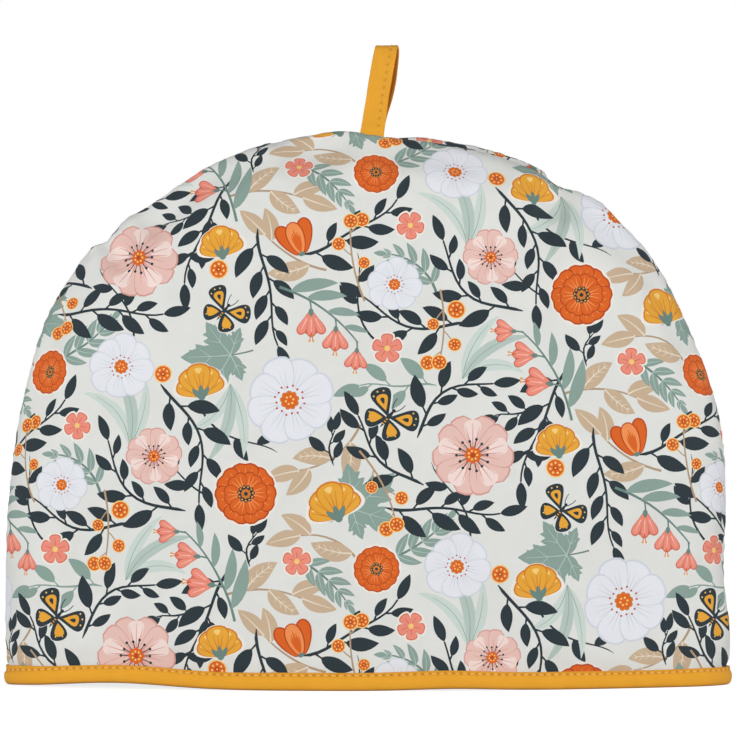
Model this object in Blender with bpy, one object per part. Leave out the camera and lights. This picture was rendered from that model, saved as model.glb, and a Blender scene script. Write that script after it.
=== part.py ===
"""A padded tea cosy: two domed panels joined at a seam, a bound hem and a hanging loop.

Sizes are in millimetres here, and MM turns them into metres as the meshes are made.
The front faces -Y, the hem stands on z = 0, and the seam lies in the plane y = 0.
"""

import math
from typing import NamedTuple

import bmesh
import bpy
import numpy as np

MM = 0.001

# Driving sizes ------------------------------------------------------------------------

HEM_HALF_WIDTH = 185.0  # outside of the binding, at the ends of the hem
CLEARANCE = 0.3  # air between two pieces that are sewn together
BINDING_THICK = 1.1
BINDING_HEIGHT = 9.0
PANEL_HALF_WIDTH = HEM_HALF_WIDTH - BINDING_THICK - CLEARANCE
PANEL_BOTTOM = BINDING_THICK + 2 * CLEARANCE
PANEL_STRAIGHT_TO = BINDING_HEIGHT + 0.5  # the panel stands straight inside the binding

CROWN_DEPTH = 38.0  # how far the face bows out, from the seam to the middle of the hem
ROLL_DEPTH = 14.0  # the rounded edge beside the seam: its depth and its width
ROLL_WIDTH = 22.0
HEM_PINCH = 1.3  # how far the binding draws the face in
HEM_PINCH_HEIGHT = 16.0

PAD_THICK = 7.5  # the pad's thickness in the open face, beside the seam and in the binding
SEAM_THICK = 7.0
SEAM_THICK_WIDTH = 40.0
LEAST_DEPTH_INSIDE = 0.6  # the pad's inner face stays this far off the seam plane
HEM_THICK = 4.6
HEM_THICK_HEIGHT = 30.0

SEAM_ROW_STEP = 12.0  # spacing of the mesh rows, measured along the seam
FACE_COLUMNS = 28

LOOP_WIDTH = 12.0
LOOP_TAPE = 1.5  # two turned-in layers of the strip
LOOP_X = 2.0  # where the tape leaves the seam
LOOP_HEIGHT = 45.0
LOOP_ROOT = 4.5  # how deep the ends are caught in the seam
LOOP_LEAN = 9.5  # degrees, towards +X
LOOP_TURN = 14.0  # degrees round its own length, reached near the top
LOOP_TURN_HEIGHT = 22.0
LOOP_EYE_FOOT = 1.5  # the eye starts this far above the seam
LOOP_SLOT_ROOM = 0.4  # the slot is this much wider at each end, as the tape leans in it


class SeamPoint(NamedTuple):
    """One point that the seam passes through, seen from the front."""

    x: float
    z: float


SEAM_POINTS = (
    SeamPoint(x=PANEL_HALF_WIDTH, z=PANEL_STRAIGHT_TO),
    SeamPoint(x=184.5, z=22.0),
    SeamPoint(x=181.2, z=56.0),
    SeamPoint(x=182.3, z=96.0),
    SeamPoint(x=178.3, z=139.0),
    SeamPoint(x=163.3, z=182.3),
    SeamPoint(x=142.0, z=221.4),
    SeamPoint(x=107.5, z=251.3),
    SeamPoint(x=66.5, z=268.8),
    SeamPoint(x=22.5, z=278.0),
    SeamPoint(x=-10.0, z=281.7),
    SeamPoint(x=-45.0, z=276.8),
    SeamPoint(x=-78.0, z=265.8),
    SeamPoint(x=-107.0, z=248.0),
    SeamPoint(x=-139.0, z=222.8),
    SeamPoint(x=-161.2, z=192.5),
    SeamPoint(x=-174.2, z=152.4),
    SeamPoint(x=-181.4, z=110.0),
    SeamPoint(x=-184.3, z=66.0),
    SeamPoint(x=-184.4, z=22.0),
    SeamPoint(x=-PANEL_HALF_WIDTH, z=PANEL_STRAIGHT_TO),
)


class SeamFold(NamedTuple):
    """One pucker at the seam: the edge moves out or in, and a trough runs in from it."""

    side: str  # the panel whose face it dents: front, back or both
    angle: float  # degrees round the middle of the hem, from +X
    half_width: float  # degrees
    outward: float  # how far the seam moves out there
    trough: float  # how deep the face is dented
    reach: float  # how far the dent runs in from the seam


SEAM_FOLDS = (
    SeamFold(side="both", angle=64.2, half_width=1.9, outward=1.8, trough=-0.8, reach=22.0),
    SeamFold(side="both", angle=69.0, half_width=2.0, outward=-2.4, trough=3.0, reach=48.0),
    SeamFold(side="front", angle=77.0, half_width=3.0, outward=0.4, trough=-0.9, reach=34.0),
    SeamFold(side="front", angle=88.5, half_width=2.6, outward=-1.0, trough=0.7, reach=30.0),
    SeamFold(side="back", angle=84.0, half_width=3.4, outward=0.0, trough=1.8, reach=44.0),
    SeamFold(side="both", angle=101.5, half_width=2.0, outward=0.6, trough=-0.6, reach=20.0),
    SeamFold(side="front", angle=113.0, half_width=3.4, outward=-0.7, trough=1.5, reach=40.0),
    SeamFold(side="both", angle=117.6, half_width=1.7, outward=0.9, trough=-0.7, reach=20.0),
    SeamFold(side="both", angle=120.2, half_width=1.5, outward=-2.0, trough=2.4, reach=38.0),
    SeamFold(side="both", angle=123.4, half_width=1.9, outward=1.3, trough=-0.8, reach=20.0),
    SeamFold(side="back", angle=52.0, half_width=3.2, outward=0.0, trough=2.0, reach=46.0),
    SeamFold(side="back", angle=139.0, half_width=3.4, outward=0.0, trough=1.6, reach=40.0),
    SeamFold(side="front", angle=43.0, half_width=3.6, outward=0.0, trough=1.2, reach=36.0),
)


class FaceDent(NamedTuple):
    """One broad, shallow hollow or swelling in a panel's face."""

    side: str
    x: float
    z: float
    half_width: float
    half_height: float
    depth: float  # negative swells outwards


FACE_DENTS = (
    FaceDent(side="front", x=-92.0, z=196.0, half_width=34.0, half_height=30.0, depth=1.8),
    FaceDent(side="front", x=84.0, z=208.0, half_width=30.0, half_height=38.0, depth=2.0),
    FaceDent(side="front", x=-18.0, z=118.0, half_width=70.0, half_height=54.0, depth=-1.6),
    FaceDent(side="front", x=126.0, z=64.0, half_width=30.0, half_height=40.0, depth=1.5),
    FaceDent(side="back", x=70.0, z=150.0, half_width=60.0, half_height=46.0, depth=1.9),
    FaceDent(side="back", x=-96.0, z=96.0, half_width=46.0, half_height=58.0, depth=-1.5),
    FaceDent(side="back", x=-40.0, z=218.0, half_width=36.0, half_height=28.0, depth=1.7),
)


class LoopLevel(NamedTuple):
    """How far apart the loop's two legs stand at a height above the seam."""

    height: float
    half_gap: float  # from the middle to the inside of a leg


LOOP_LEVELS = (
    LoopLevel(height=4.5, half_gap=0.7),
    LoopLevel(height=9.0, half_gap=1.9),
    LoopLevel(height=14.0, half_gap=3.1),
    LoopLevel(height=20.0, half_gap=4.0),
    LoopLevel(height=26.0, half_gap=4.3),
    LoopLevel(height=32.0, half_gap=4.0),
    LoopLevel(height=37.0, half_gap=3.2),
    LoopLevel(height=41.0, half_gap=2.1),
)


class Finish(NamedTuple):
    """A cloth's colour and roughness."""

    colour: tuple[float, float, float]
    roughness: float


PRINTED_COTTON = Finish(colour=(0.74, 0.76, 0.73), roughness=0.88)
MARIGOLD_COTTON = Finish(colour=(0.80, 0.38, 0.035), roughness=0.82)

# Shape of the seam and the faces ------------------------------------------------------


def smooth_step(share: np.ndarray) -> np.ndarray:
    """Return a soft ramp from 0 to 1 as share goes from 0 to 1."""
    held = np.clip(share, 0.0, 1.0)
    return held * held * (3.0 - 2.0 * held)


def curve_through(knots: np.ndarray, values: np.ndarray, at: np.ndarray) -> np.ndarray:
    """Read a smooth curve through the knots, with slopes taken from their neighbours."""
    slopes = np.gradient(values, knots)
    span = np.clip(np.searchsorted(knots, at) - 1, 0, len(knots) - 2)
    width = knots[span + 1] - knots[span]
    share = (at - knots[span]) / width
    rise = values[span + 1] - values[span]
    start, end = slopes[span] * width, slopes[span + 1] * width
    bend = share * (1.0 - share) * ((1.0 - share) * (start - rise) - share * (end - rise))
    return values[span] + share * rise + bend


def seam_radius(angle: np.ndarray) -> np.ndarray:
    """Distance from the middle of the hem to the seam, at an angle in degrees."""
    knots = np.array([math.degrees(math.atan2(p.z, p.x)) for p in SEAM_POINTS])
    radii = np.array([math.hypot(p.x, p.z) for p in SEAM_POINTS])
    straight = PANEL_HALF_WIDTH / np.maximum(np.abs(np.cos(np.radians(angle))), 0.1)
    inside = (angle > knots[0]) & (angle < knots[-1])
    radius = np.where(inside, curve_through(knots, radii, angle), straight)
    for fold in SEAM_FOLDS:
        radius = radius + fold.outward * np.exp(-(((angle - fold.angle) / fold.half_width) ** 2))
    return radius


def face_depth(x: np.ndarray, z: np.ndarray, side: str) -> np.ndarray:
    """How far a panel's face stands off the seam plane at (x, z)."""
    level = np.maximum(z, PANEL_STRAIGHT_TO)
    angle = np.degrees(np.arctan2(level, x))
    radius = seam_radius(angle)
    share = np.clip(np.hypot(x, level) / radius, 0.0, 1.0)
    inset = (1.0 - share) * radius
    roll = np.sqrt(1.0 - (1.0 - np.clip(inset / ROLL_WIDTH, 0.0, 1.0)) ** 2)
    depth = CROWN_DEPTH * (1.0 - share**2) + ROLL_DEPTH * roll
    above_hem = (level - PANEL_STRAIGHT_TO) / HEM_PINCH_HEIGHT
    depth -= HEM_PINCH * roll * (1.0 - smooth_step(above_hem))
    for fold in SEAM_FOLDS:
        if fold.side in (side, "both"):
            across = np.exp(-(((angle - fold.angle) / fold.half_width) ** 2))
            along = 1.0 - smooth_step(inset / fold.reach)
            depth -= fold.trough * across * along * roll
    for dent in FACE_DENTS:
        if dent.side == side:
            off_x = (x - dent.x) / dent.half_width
            off_z = (level - dent.z) / dent.half_height
            depth -= dent.depth * np.exp(-(off_x**2) - off_z**2) * roll * smooth_step(above_hem)
    return np.maximum(depth, 0.0)


def pad_thickness(x: np.ndarray, z: np.ndarray) -> np.ndarray:
    """Thickness of the pad: full in the open face, less beside the seam and at the hem."""
    level = np.maximum(z, PANEL_STRAIGHT_TO)
    radius = seam_radius(np.degrees(np.arctan2(level, x)))
    inset = np.maximum(radius - np.hypot(x, level), 0.0)
    thick = SEAM_THICK + (PAD_THICK - SEAM_THICK) * smooth_step(inset / SEAM_THICK_WIDTH)
    above_hem = (level - PANEL_STRAIGHT_TO) / (HEM_THICK_HEIGHT - PANEL_STRAIGHT_TO)
    return HEM_THICK + (thick - HEM_THICK) * smooth_step(above_hem)


# Rows of the panel meshes -------------------------------------------------------------


def seam_rows() -> tuple[np.ndarray, np.ndarray, np.ndarray, SeamPoint]:
    """Heights of the mesh rows, the seam's x at each side of them, and the seam's top."""
    angles = np.linspace(0.0, 180.0, 1441)
    radii = seam_radius(angles)
    x = radii * np.cos(np.radians(angles))
    z = radii * np.sin(np.radians(angles))
    top = int(np.argmax(z))
    right_z, right_x = np.maximum.accumulate(z[: top + 1]), x[: top + 1]
    left_z, left_x = np.maximum.accumulate(z[top:][::-1]), x[top:][::-1]
    run = np.concatenate(([0.0], np.cumsum(np.hypot(np.diff(right_x), np.diff(right_z)))))
    start = float(np.interp(PANEL_STRAIGHT_TO, right_z, run))
    steps = round((run[-1] - start) / SEAM_ROW_STEP)
    heights = np.interp(np.linspace(start, run[-1], steps + 1)[:-2], run, right_z)
    heights = np.concatenate(([PANEL_BOTTOM], heights))
    rights = np.interp(heights, right_z, right_x)
    lefts = np.interp(heights, left_z, left_x)
    return heights, lefts, rights, SeamPoint(x=float(x[top]), z=float(z[top]))


def panel_points(side: str) -> tuple[np.ndarray, np.ndarray, np.ndarray, np.ndarray]:
    """Outer and inner points of a panel, rows by columns, and its two top points.

    Depth is positive here for both panels; the builder turns it towards -Y or +Y.
    """
    heights, lefts, rights, top = seam_rows()
    turn = np.linspace(-math.pi / 2, math.pi / 2, FACE_COLUMNS + 1)
    share = (1.0 + np.sin(turn)) / 2.0
    x = lefts[:, None] + (rights - lefts)[:, None] * share[None, :]
    z = np.repeat(heights[:, None], FACE_COLUMNS + 1, axis=1)
    depth = face_depth(x, z, side)
    depth[:, 0] = depth[:, -1] = 0.0
    outer = np.stack((x, depth, z), axis=2)
    pole = np.array((top.x, 0.0, top.z))
    capped = np.concatenate((outer, np.repeat(pole[None, None, :], x.shape[1], axis=1)), axis=0)
    across = np.gradient(outer, axis=1)
    upward = np.gradient(capped, axis=0)[:-1]
    upward[:2] = (0.0, 0.0, 1.0)  # the strip inside the binding stands straight
    normal = np.cross(upward, across)
    for edge, spin in ((0, 1.0), (-1, -1.0)):  # the seam's edge faces away, in its own plane
        normal[:, edge] = np.cross(upward[:, edge] * (1.0, 0.0, 1.0), (0.0, spin, 0.0))
    normal /= np.linalg.norm(normal, axis=2, keepdims=True)
    inner = outer - normal * pad_thickness(x, z)[:, :, None]
    inner[:, 1:-1, 1] = np.maximum(inner[:, 1:-1, 1], LEAST_DEPTH_INSIDE)
    inner[0, :, 2] = PANEL_BOTTOM
    return outer, inner, pole, pole - np.array((0.0, 0.0, SEAM_THICK))


# Making objects -----------------------------------------------------------------------


def cloth_material(name: str, finish: Finish) -> bpy.types.Material:
    """Return a plain cloth material."""
    material = bpy.data.materials.new(name)
    material.use_nodes = True
    shader = material.node_tree.nodes["Principled BSDF"]
    shader.inputs["Base Color"].default_value = (*finish.colour, 1.0)
    shader.inputs["Roughness"].default_value = finish.roughness
    shader.inputs["Metallic"].default_value = 0.0
    return material


def add_object(
    name: str,
    points: np.ndarray,
    faces: list[tuple[int, ...]],
    finish: Finish,
    crease: float = 40.0,
) -> bpy.types.Object:
    """Make one closed object from points in millimetres, with its faces turned outwards."""
    mesh = bpy.data.meshes.new(name)
    mesh.from_pydata([tuple(p) for p in np.asarray(points) * MM], [], faces)
    shell = bmesh.new()
    shell.from_mesh(mesh)
    bmesh.ops.triangulate(shell, faces=shell.faces)
    bmesh.ops.recalc_face_normals(shell, faces=shell.faces)
    if shell.calc_volume(signed=True) < 0.0:  # a deep shell can come out inside out
        bmesh.ops.reverse_faces(shell, faces=shell.faces)
    shell.to_mesh(mesh)
    shell.free()
    mesh.shade_smooth()
    mesh.set_sharp_from_angle(angle=math.radians(crease))
    mesh.materials.append(cloth_material(name + "_cloth", finish))
    made = bpy.data.objects.new(name, mesh)
    bpy.context.scene.collection.objects.link(made)
    return made


def grid_faces(rows: int, columns: int, first: int = 0) -> list[tuple[int, ...]]:
    """Four-sided faces between the points of a grid whose points are numbered row by row."""
    faces = []
    for row in range(rows - 1):
        for column in range(columns - 1):
            corner = first + row * columns + column
            faces.append((corner, corner + 1, corner + columns + 1, corner + columns))
    return faces


def add_panel(name: str, side: str, toward: float) -> bpy.types.Object:
    """Make one padded panel. toward is -1 for the front, which faces -Y, and 1 for the back."""
    outer, inner, outer_pole, inner_pole = panel_points(side)
    rows, columns = outer.shape[:2]
    count = rows * columns
    points = np.concatenate((outer.reshape(-1, 3), inner.reshape(-1, 3), [outer_pole, inner_pole]))
    points[:, 1] = toward * (points[:, 1] + CLEARANCE / 2)
    faces = grid_faces(rows, columns) + grid_faces(rows, columns, first=count)
    top_row = (rows - 1) * columns
    for column in range(columns - 1):
        faces.append((top_row + column, top_row + column + 1, 2 * count))
        faces.append((count + top_row + column, count + top_row + column + 1, 2 * count + 1))
        faces.append((column, column + 1, count + column + 1, count + column))
    for row in range(rows - 1):
        for edge in (row * columns, row * columns + columns - 1):
            faces.append((edge, edge + columns, count + edge + columns, count + edge))
    for edge in (top_row, top_row + columns - 1):
        faces.append((edge, 2 * count, 2 * count + 1, count + edge))
    return add_object(name, points, faces, PRINTED_COTTON)


def binding_section() -> list[tuple[float, float]]:
    """The binding's section: (offset outwards from the pad's outer face, height)."""
    outside = CLEARANCE + BINDING_THICK
    inside = -HEM_THICK - outside
    floor = BINDING_THICK + CLEARANCE
    return [
        (CLEARANCE, floor),
        (CLEARANCE, BINDING_HEIGHT),
        (outside - 0.4, BINDING_HEIGHT),
        (outside - 0.1, 0.8 * BINDING_HEIGHT),
        (outside, 0.45 * BINDING_HEIGHT),
        (outside - 0.2, 0.15 * BINDING_HEIGHT),
        (outside - 1.1, 0.0),
        (inside + 1.1, 0.0),
        (inside + 0.2, 0.15 * BINDING_HEIGHT),
        (inside, 0.5 * BINDING_HEIGHT),
        (inside + 0.4, BINDING_HEIGHT),
        (-HEM_THICK - CLEARANCE, BINDING_HEIGHT),
        (-HEM_THICK - CLEARANCE, floor),
    ]


def add_binding() -> bpy.types.Object:
    """Make the closed ring of U section that wraps both panels' lower edges."""
    outer, inner = panel_points("front")[:2]
    plan, inward = outer[0, :, :2], inner[0, :, :2]
    away = (plan - inward) / np.linalg.norm(plan - inward, axis=1, keepdims=True)
    plan = plan + (0.0, CLEARANCE / 2)
    ends = slice(1, -1)  # both ends lie on the seam plane and are shared by the two halves
    plan[0, 1] = plan[-1, 1] = 0.0
    mirror = np.array((1.0, -1.0))
    ring = np.concatenate((plan, (plan * mirror)[::-1][ends]))
    away = np.concatenate((away, (away * mirror)[::-1][ends]))
    section = binding_section()
    points = []
    for place, out in zip(ring, away):
        for offset, height in section:
            points.append((*(place + out * offset), height))
    faces = []
    stations, corners = len(ring), len(section)
    for station in range(stations):
        here, there = station * corners, (station + 1) % stations * corners
        for corner in range(corners):
            step = (corner + 1) % corners
            faces.append((here + corner, here + step, there + step, there + corner))
    return add_object("hem_binding", np.array(points), faces, MARIGOLD_COTTON)


def loop_outlines() -> tuple[list[tuple[float, float]], list[tuple[float, float]]]:
    """The loop's outer outline and its eye's, side on, as (depth, height) pairs.

    Both start at the bottom, go up the front leg, over the fold and down the back leg,
    with the same number of points.
    """
    fold = LOOP_HEIGHT - LOOP_TAPE
    leg_outer = [(-LOOP_TAPE, -LOOP_ROOT), (-LOOP_TAPE, LOOP_EYE_FOOT)]
    leg_inner = [(-0.15, LOOP_EYE_FOOT + 0.7), (-0.3, LOOP_EYE_FOOT + 1.5)]
    for level in LOOP_LEVELS:
        leg_outer.append((-level.half_gap - LOOP_TAPE, level.height))
        leg_inner.append((-level.half_gap, level.height))
    leg_outer.append((-LOOP_TAPE - 0.6, LOOP_HEIGHT - 0.8))
    leg_inner.append((-0.7, fold - 0.6))
    outer = [(0.0, -LOOP_ROOT), *leg_outer, (0.0, LOOP_HEIGHT)]
    inner = [(0.0, LOOP_EYE_FOOT), *leg_inner, (0.0, fold)]
    outer += [(-depth, height) for depth, height in leg_outer[::-1]]
    inner += [(-depth, height) for depth, height in leg_inner[::-1]]
    return outer, inner


def loop_place(across: float, depth: float, height: float, base: float) -> tuple[float, float, float]:
    """Where a point of the loop lies once the tape leans and turns."""
    rise = max(height, 0.0)
    turn = math.radians(LOOP_TURN) * float(smooth_step(np.array(rise / LOOP_TURN_HEIGHT)))
    x = LOOP_X + math.tan(math.radians(LOOP_LEAN)) * rise
    x += across * math.cos(turn) + depth * math.sin(turn)
    y = depth * math.cos(turn) - across * math.sin(turn)
    return (x, y, base + height)


def seam_top_at(x: float) -> float:
    """Height of the seam above a place on the hem."""
    angles = np.linspace(30.0, 150.0, 961)
    radii = seam_radius(angles)
    order = np.argsort(radii * np.cos(np.radians(angles)))
    along = (radii * np.cos(np.radians(angles)))[order]
    return float(np.interp(x, along, (radii * np.sin(np.radians(angles)))[order]))


def add_loop(base: float) -> bpy.types.Object:
    """Make the folded tape: a band round its open eye, with its root below the seam."""
    outer, inner = loop_outlines()
    count = len(outer)
    places = (-0.5, -0.17, 0.17, 0.5)
    points = []
    for outline in (outer, inner):
        for place in places:
            for depth, height in outline:
                points.append(loop_place(place * LOOP_WIDTH, depth, height, base))
    faces = []
    for shell in range(2):
        for row in range(len(places) - 1):
            here = (shell * len(places) + row) * count
            for k in range(count):
                step = (k + 1) % count
                faces.append((here + k, here + step, here + count + step, here + count + k))
    for row in (0, len(places) - 1):
        here, there = row * count, (len(places) + row) * count
        for k in range(count):
            step = (k + 1) % count
            faces.append((here + k, here + step, there + step, there + k))
    return add_object("hanging_loop", np.array(points), faces, MARIGOLD_COTTON)


def cut_loop_slot(panels: list[bpy.types.Object], base: float) -> None:
    """Cut the place in the seam where the loop's root is caught."""
    half = (LOOP_WIDTH / 2 + CLEARANCE + LOOP_SLOT_ROOM, LOOP_TAPE + CLEARANCE)
    low, high = base - LOOP_ROOT - CLEARANCE, base + 4 * LOOP_ROOT
    corners = []
    for z in (low, high):
        for x_sign, y_sign in ((-1, -1), (1, -1), (1, 1), (-1, 1)):
            corners.append((LOOP_X + x_sign * half[0], y_sign * half[1], z))
    faces = [(0, 1, 2, 3), (4, 5, 6, 7)]
    faces += [(k, (k + 1) % 4, (k + 1) % 4 + 4, k + 4) for k in range(4)]
    cutter = add_object("loop_slot_cutter", np.array(corners), faces, MARIGOLD_COTTON)
    cutter.hide_render = True
    cutter.display_type = "WIRE"
    for panel in panels:
        cut = panel.modifiers.new("loop_slot", "BOOLEAN")
        cut.operation = "DIFFERENCE"
        cut.solver = "EXACT"
        cut.object = cutter


def main() -> None:
    """Build the cosy."""
    for old in list(bpy.data.objects):
        bpy.data.objects.remove(old, do_unlink=True)
    front = add_panel("front_panel", "front", toward=-1.0)
    back = add_panel("back_panel", "back", toward=1.0)
    add_binding()
    base = seam_top_at(LOOP_X)
    add_loop(base)
    cut_loop_slot([front, back], base)


main()
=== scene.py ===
"""The looks of a padded tea cosy: two printed panels, a bound hem, a hanging loop and stitching.

Sizes are in millimetres, as in the part's own source, and MM turns them into metres as each mesh
is made. The front faces -Y, the hem stands on z = 0, and the seam lies in the plane y = 0.
"""

import logging
import math
from dataclasses import dataclass, field
from enum import Enum
from typing import Callable, NamedTuple

import bpy
import numpy as np
from bpy.types import Material, Mesh, Node, NodeSocket, NodeTree, Object, bpy_prop_collection
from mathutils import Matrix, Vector
from mathutils.geometry import delaunay_2d_cdt


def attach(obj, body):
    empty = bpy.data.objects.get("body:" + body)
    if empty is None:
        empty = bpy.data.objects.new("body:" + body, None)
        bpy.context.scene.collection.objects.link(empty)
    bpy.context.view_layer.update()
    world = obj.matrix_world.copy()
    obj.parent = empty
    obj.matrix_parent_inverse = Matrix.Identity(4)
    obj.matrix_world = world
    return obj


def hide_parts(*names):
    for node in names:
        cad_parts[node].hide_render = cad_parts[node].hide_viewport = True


Array = np.ndarray
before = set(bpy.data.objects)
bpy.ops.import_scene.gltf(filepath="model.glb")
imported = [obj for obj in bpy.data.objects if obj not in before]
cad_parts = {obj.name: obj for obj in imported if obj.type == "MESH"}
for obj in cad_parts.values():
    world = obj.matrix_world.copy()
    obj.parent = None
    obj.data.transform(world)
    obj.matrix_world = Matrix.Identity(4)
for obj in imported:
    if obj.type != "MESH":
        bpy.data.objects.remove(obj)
logging.basicConfig(level=logging.INFO, format="%(name)s: %(message)s")
log = logging.getLogger("tea_cosy")

MM = 0.001
BODY = "root"
BAKE_MAP = "OFBake"
CLOTH_MAP = "cloth_mm"
INK_LAYER = "ink"
Colour = tuple[int, int, int]  # red, green and blue as the eye sees them, out of 255
TINY = 1e-12  # keeps a division from zero
BOTH_WAYS = (-1, 1)


def smooth_step(share: Array) -> Array:
    """Return a soft ramp from 0 to 1 as share goes from 0 to 1."""
    held = np.clip(share, 0, 1)
    return held * held * (3 - 2 * held)


def hump(place: Array, centre: float, half_width: float) -> Array:
    """Return 1 at the centre, and less to both sides of it."""
    return np.exp(-(((place - centre) / half_width) ** 2))


def joined(*values: Array | float) -> Array:
    """Return values set side by side along a new last axis."""
    return np.stack(np.broadcast_arrays(*values), axis=-1)


def run_along(points: Array) -> Array:
    """Return how far along a line each of its flat points lies."""
    return np.concatenate(([0], np.cumsum(np.hypot(*np.diff(points, axis=0).T))))


def polar_places(radius: Array, angle: Array) -> tuple[Array, Array]:
    """Return (x, z) at distances from the middle of the hem and headings in degrees."""
    return radius * np.cos(np.radians(angle)), radius * np.sin(np.radians(angle))


def unit_rows(rows: Array) -> Array:
    """Return vectors with their lengths made one."""
    return rows / np.maximum(np.linalg.norm(rows, axis=-1, keepdims=True), TINY)


def curve_through(knots: Array, values: Array, at: Array) -> Array:
    """Read a smooth curve through the knots."""
    slopes = np.gradient(values, knots)
    span = np.clip(np.searchsorted(knots, at) - 1, 0, len(knots) - 2)
    width = knots[span + 1] - knots[span]
    share = (at - knots[span]) / width
    rise = values[span + 1] - values[span]
    start, end = slopes[span] * width, slopes[span + 1] * width
    bend = share * (1 - share) * ((1 - share) * (start - rise) - share * (end - rise))
    return values[span] + share * rise + bend


def rows_of(kind: Callable, *rows: tuple) -> tuple:
    """Return a table whose rows are all of one kind."""
    return tuple(kind(*row) for row in rows)


class Sine(NamedTuple):
    """One sine of an uneven line."""

    height: float
    length: float  # a turn takes 2 pi times this
    start: float = 0.0


def uneven(run: Array, sines: tuple[Sine, ...]) -> Array:
    """Return the sum of some sines along a run."""
    return sum(sine.height * np.sin(run / sine.length + sine.start) for sine in sines)


def run_round(section: Array, closing: float) -> Array:
    """Return the run along a section, and on over what closes it."""
    run = run_along(section)
    return np.append(run, run[-1] + closing)


# The cosy's form, as in the part's source -------


class Side(Enum):
    """The two panels, by where they face."""

    FRONT = "front"
    BACK = "back"

    @property
    def toward(self) -> float:
        """Return -1 for the front, which faces -Y, and 1 for the back."""
        return -1 if self is Side.FRONT else 1


FRONT_ONLY, BACK_ONLY, BOTH = (Side.FRONT,), (Side.BACK,), (Side.FRONT, Side.BACK)

SEAM_POINTS = np.array((  # (x, z) of points that the seam passes through, seen from the front
    (183.6, 9.5), (184.5, 22), (181.2, 56), (182.3, 96), (178.3, 139), (163.3, 182.3),
    (142, 221.4), (107.5, 251.3), (66.5, 268.8), (22.5, 278), (-10, 281.7), (-45, 276.8),
    (-78, 265.8), (-107, 248), (-139, 222.8), (-161.2, 192.5), (-174.2, 152.4), (-181.4, 110),
    (-184.3, 66), (-184.4, 22), (-183.6, 9.5),
))


class SeamFold(NamedTuple):
    """One pucker at the seam: the edge moves out or in, and a trough runs in from it."""

    sides: tuple[Side, ...]  # the panels whose faces it dents
    angle: float  # degrees round the middle of the hem, from +X
    half_width: float  # degrees
    outward: float  # how far the seam moves out there
    trough: float  # how deep the face is dented
    reach: float  # how far the dent runs in from the seam


SEAM_FOLDS = rows_of(
    SeamFold,
    (BOTH, 64.2, 1.9, 1.8, -0.8, 22), (BOTH, 69, 2, -2.4, 3, 48), (FRONT_ONLY, 77, 3, 0.4, -0.9, 34),
    (FRONT_ONLY, 88.5, 2.6, -1, 0.7, 30), (BACK_ONLY, 84, 3.4, 0, 1.8, 44),
    (BOTH, 101.5, 2, 0.6, -0.6, 20), (FRONT_ONLY, 113, 3.4, -0.7, 1.5, 40),
    (BOTH, 117.6, 1.7, 0.9, -0.7, 20), (BOTH, 120.2, 1.5, -2, 2.4, 38),
    (BOTH, 123.4, 1.9, 1.3, -0.8, 20), (BACK_ONLY, 52, 3.2, 0, 2, 46),
    (BACK_ONLY, 139, 3.4, 0, 1.6, 40), (FRONT_ONLY, 43, 3.6, 0, 1.2, 36),
)


class FaceDent(NamedTuple):
    """One broad, shallow hollow or swelling in a panel's face."""

    side: Side
    x: float
    z: float
    half_width: float
    half_height: float
    depth: float  # negative swells outwards


FACE_DENTS = rows_of(
    FaceDent,
    (Side.FRONT, -92, 196, 34, 30, 1.8), (Side.FRONT, 84, 208, 30, 38, 2),
    (Side.FRONT, -18, 118, 70, 54, -1.6), (Side.FRONT, 126, 64, 30, 40, 1.5),
    (Side.BACK, 70, 150, 60, 46, 1.9), (Side.BACK, -96, 96, 46, 58, -1.5),
    (Side.BACK, -40, 218, 36, 28, 1.7),
)


CROWN_ANGLES, CROWN_POINTS = (30, 150), 961  # where the seam's top is looked up


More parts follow.
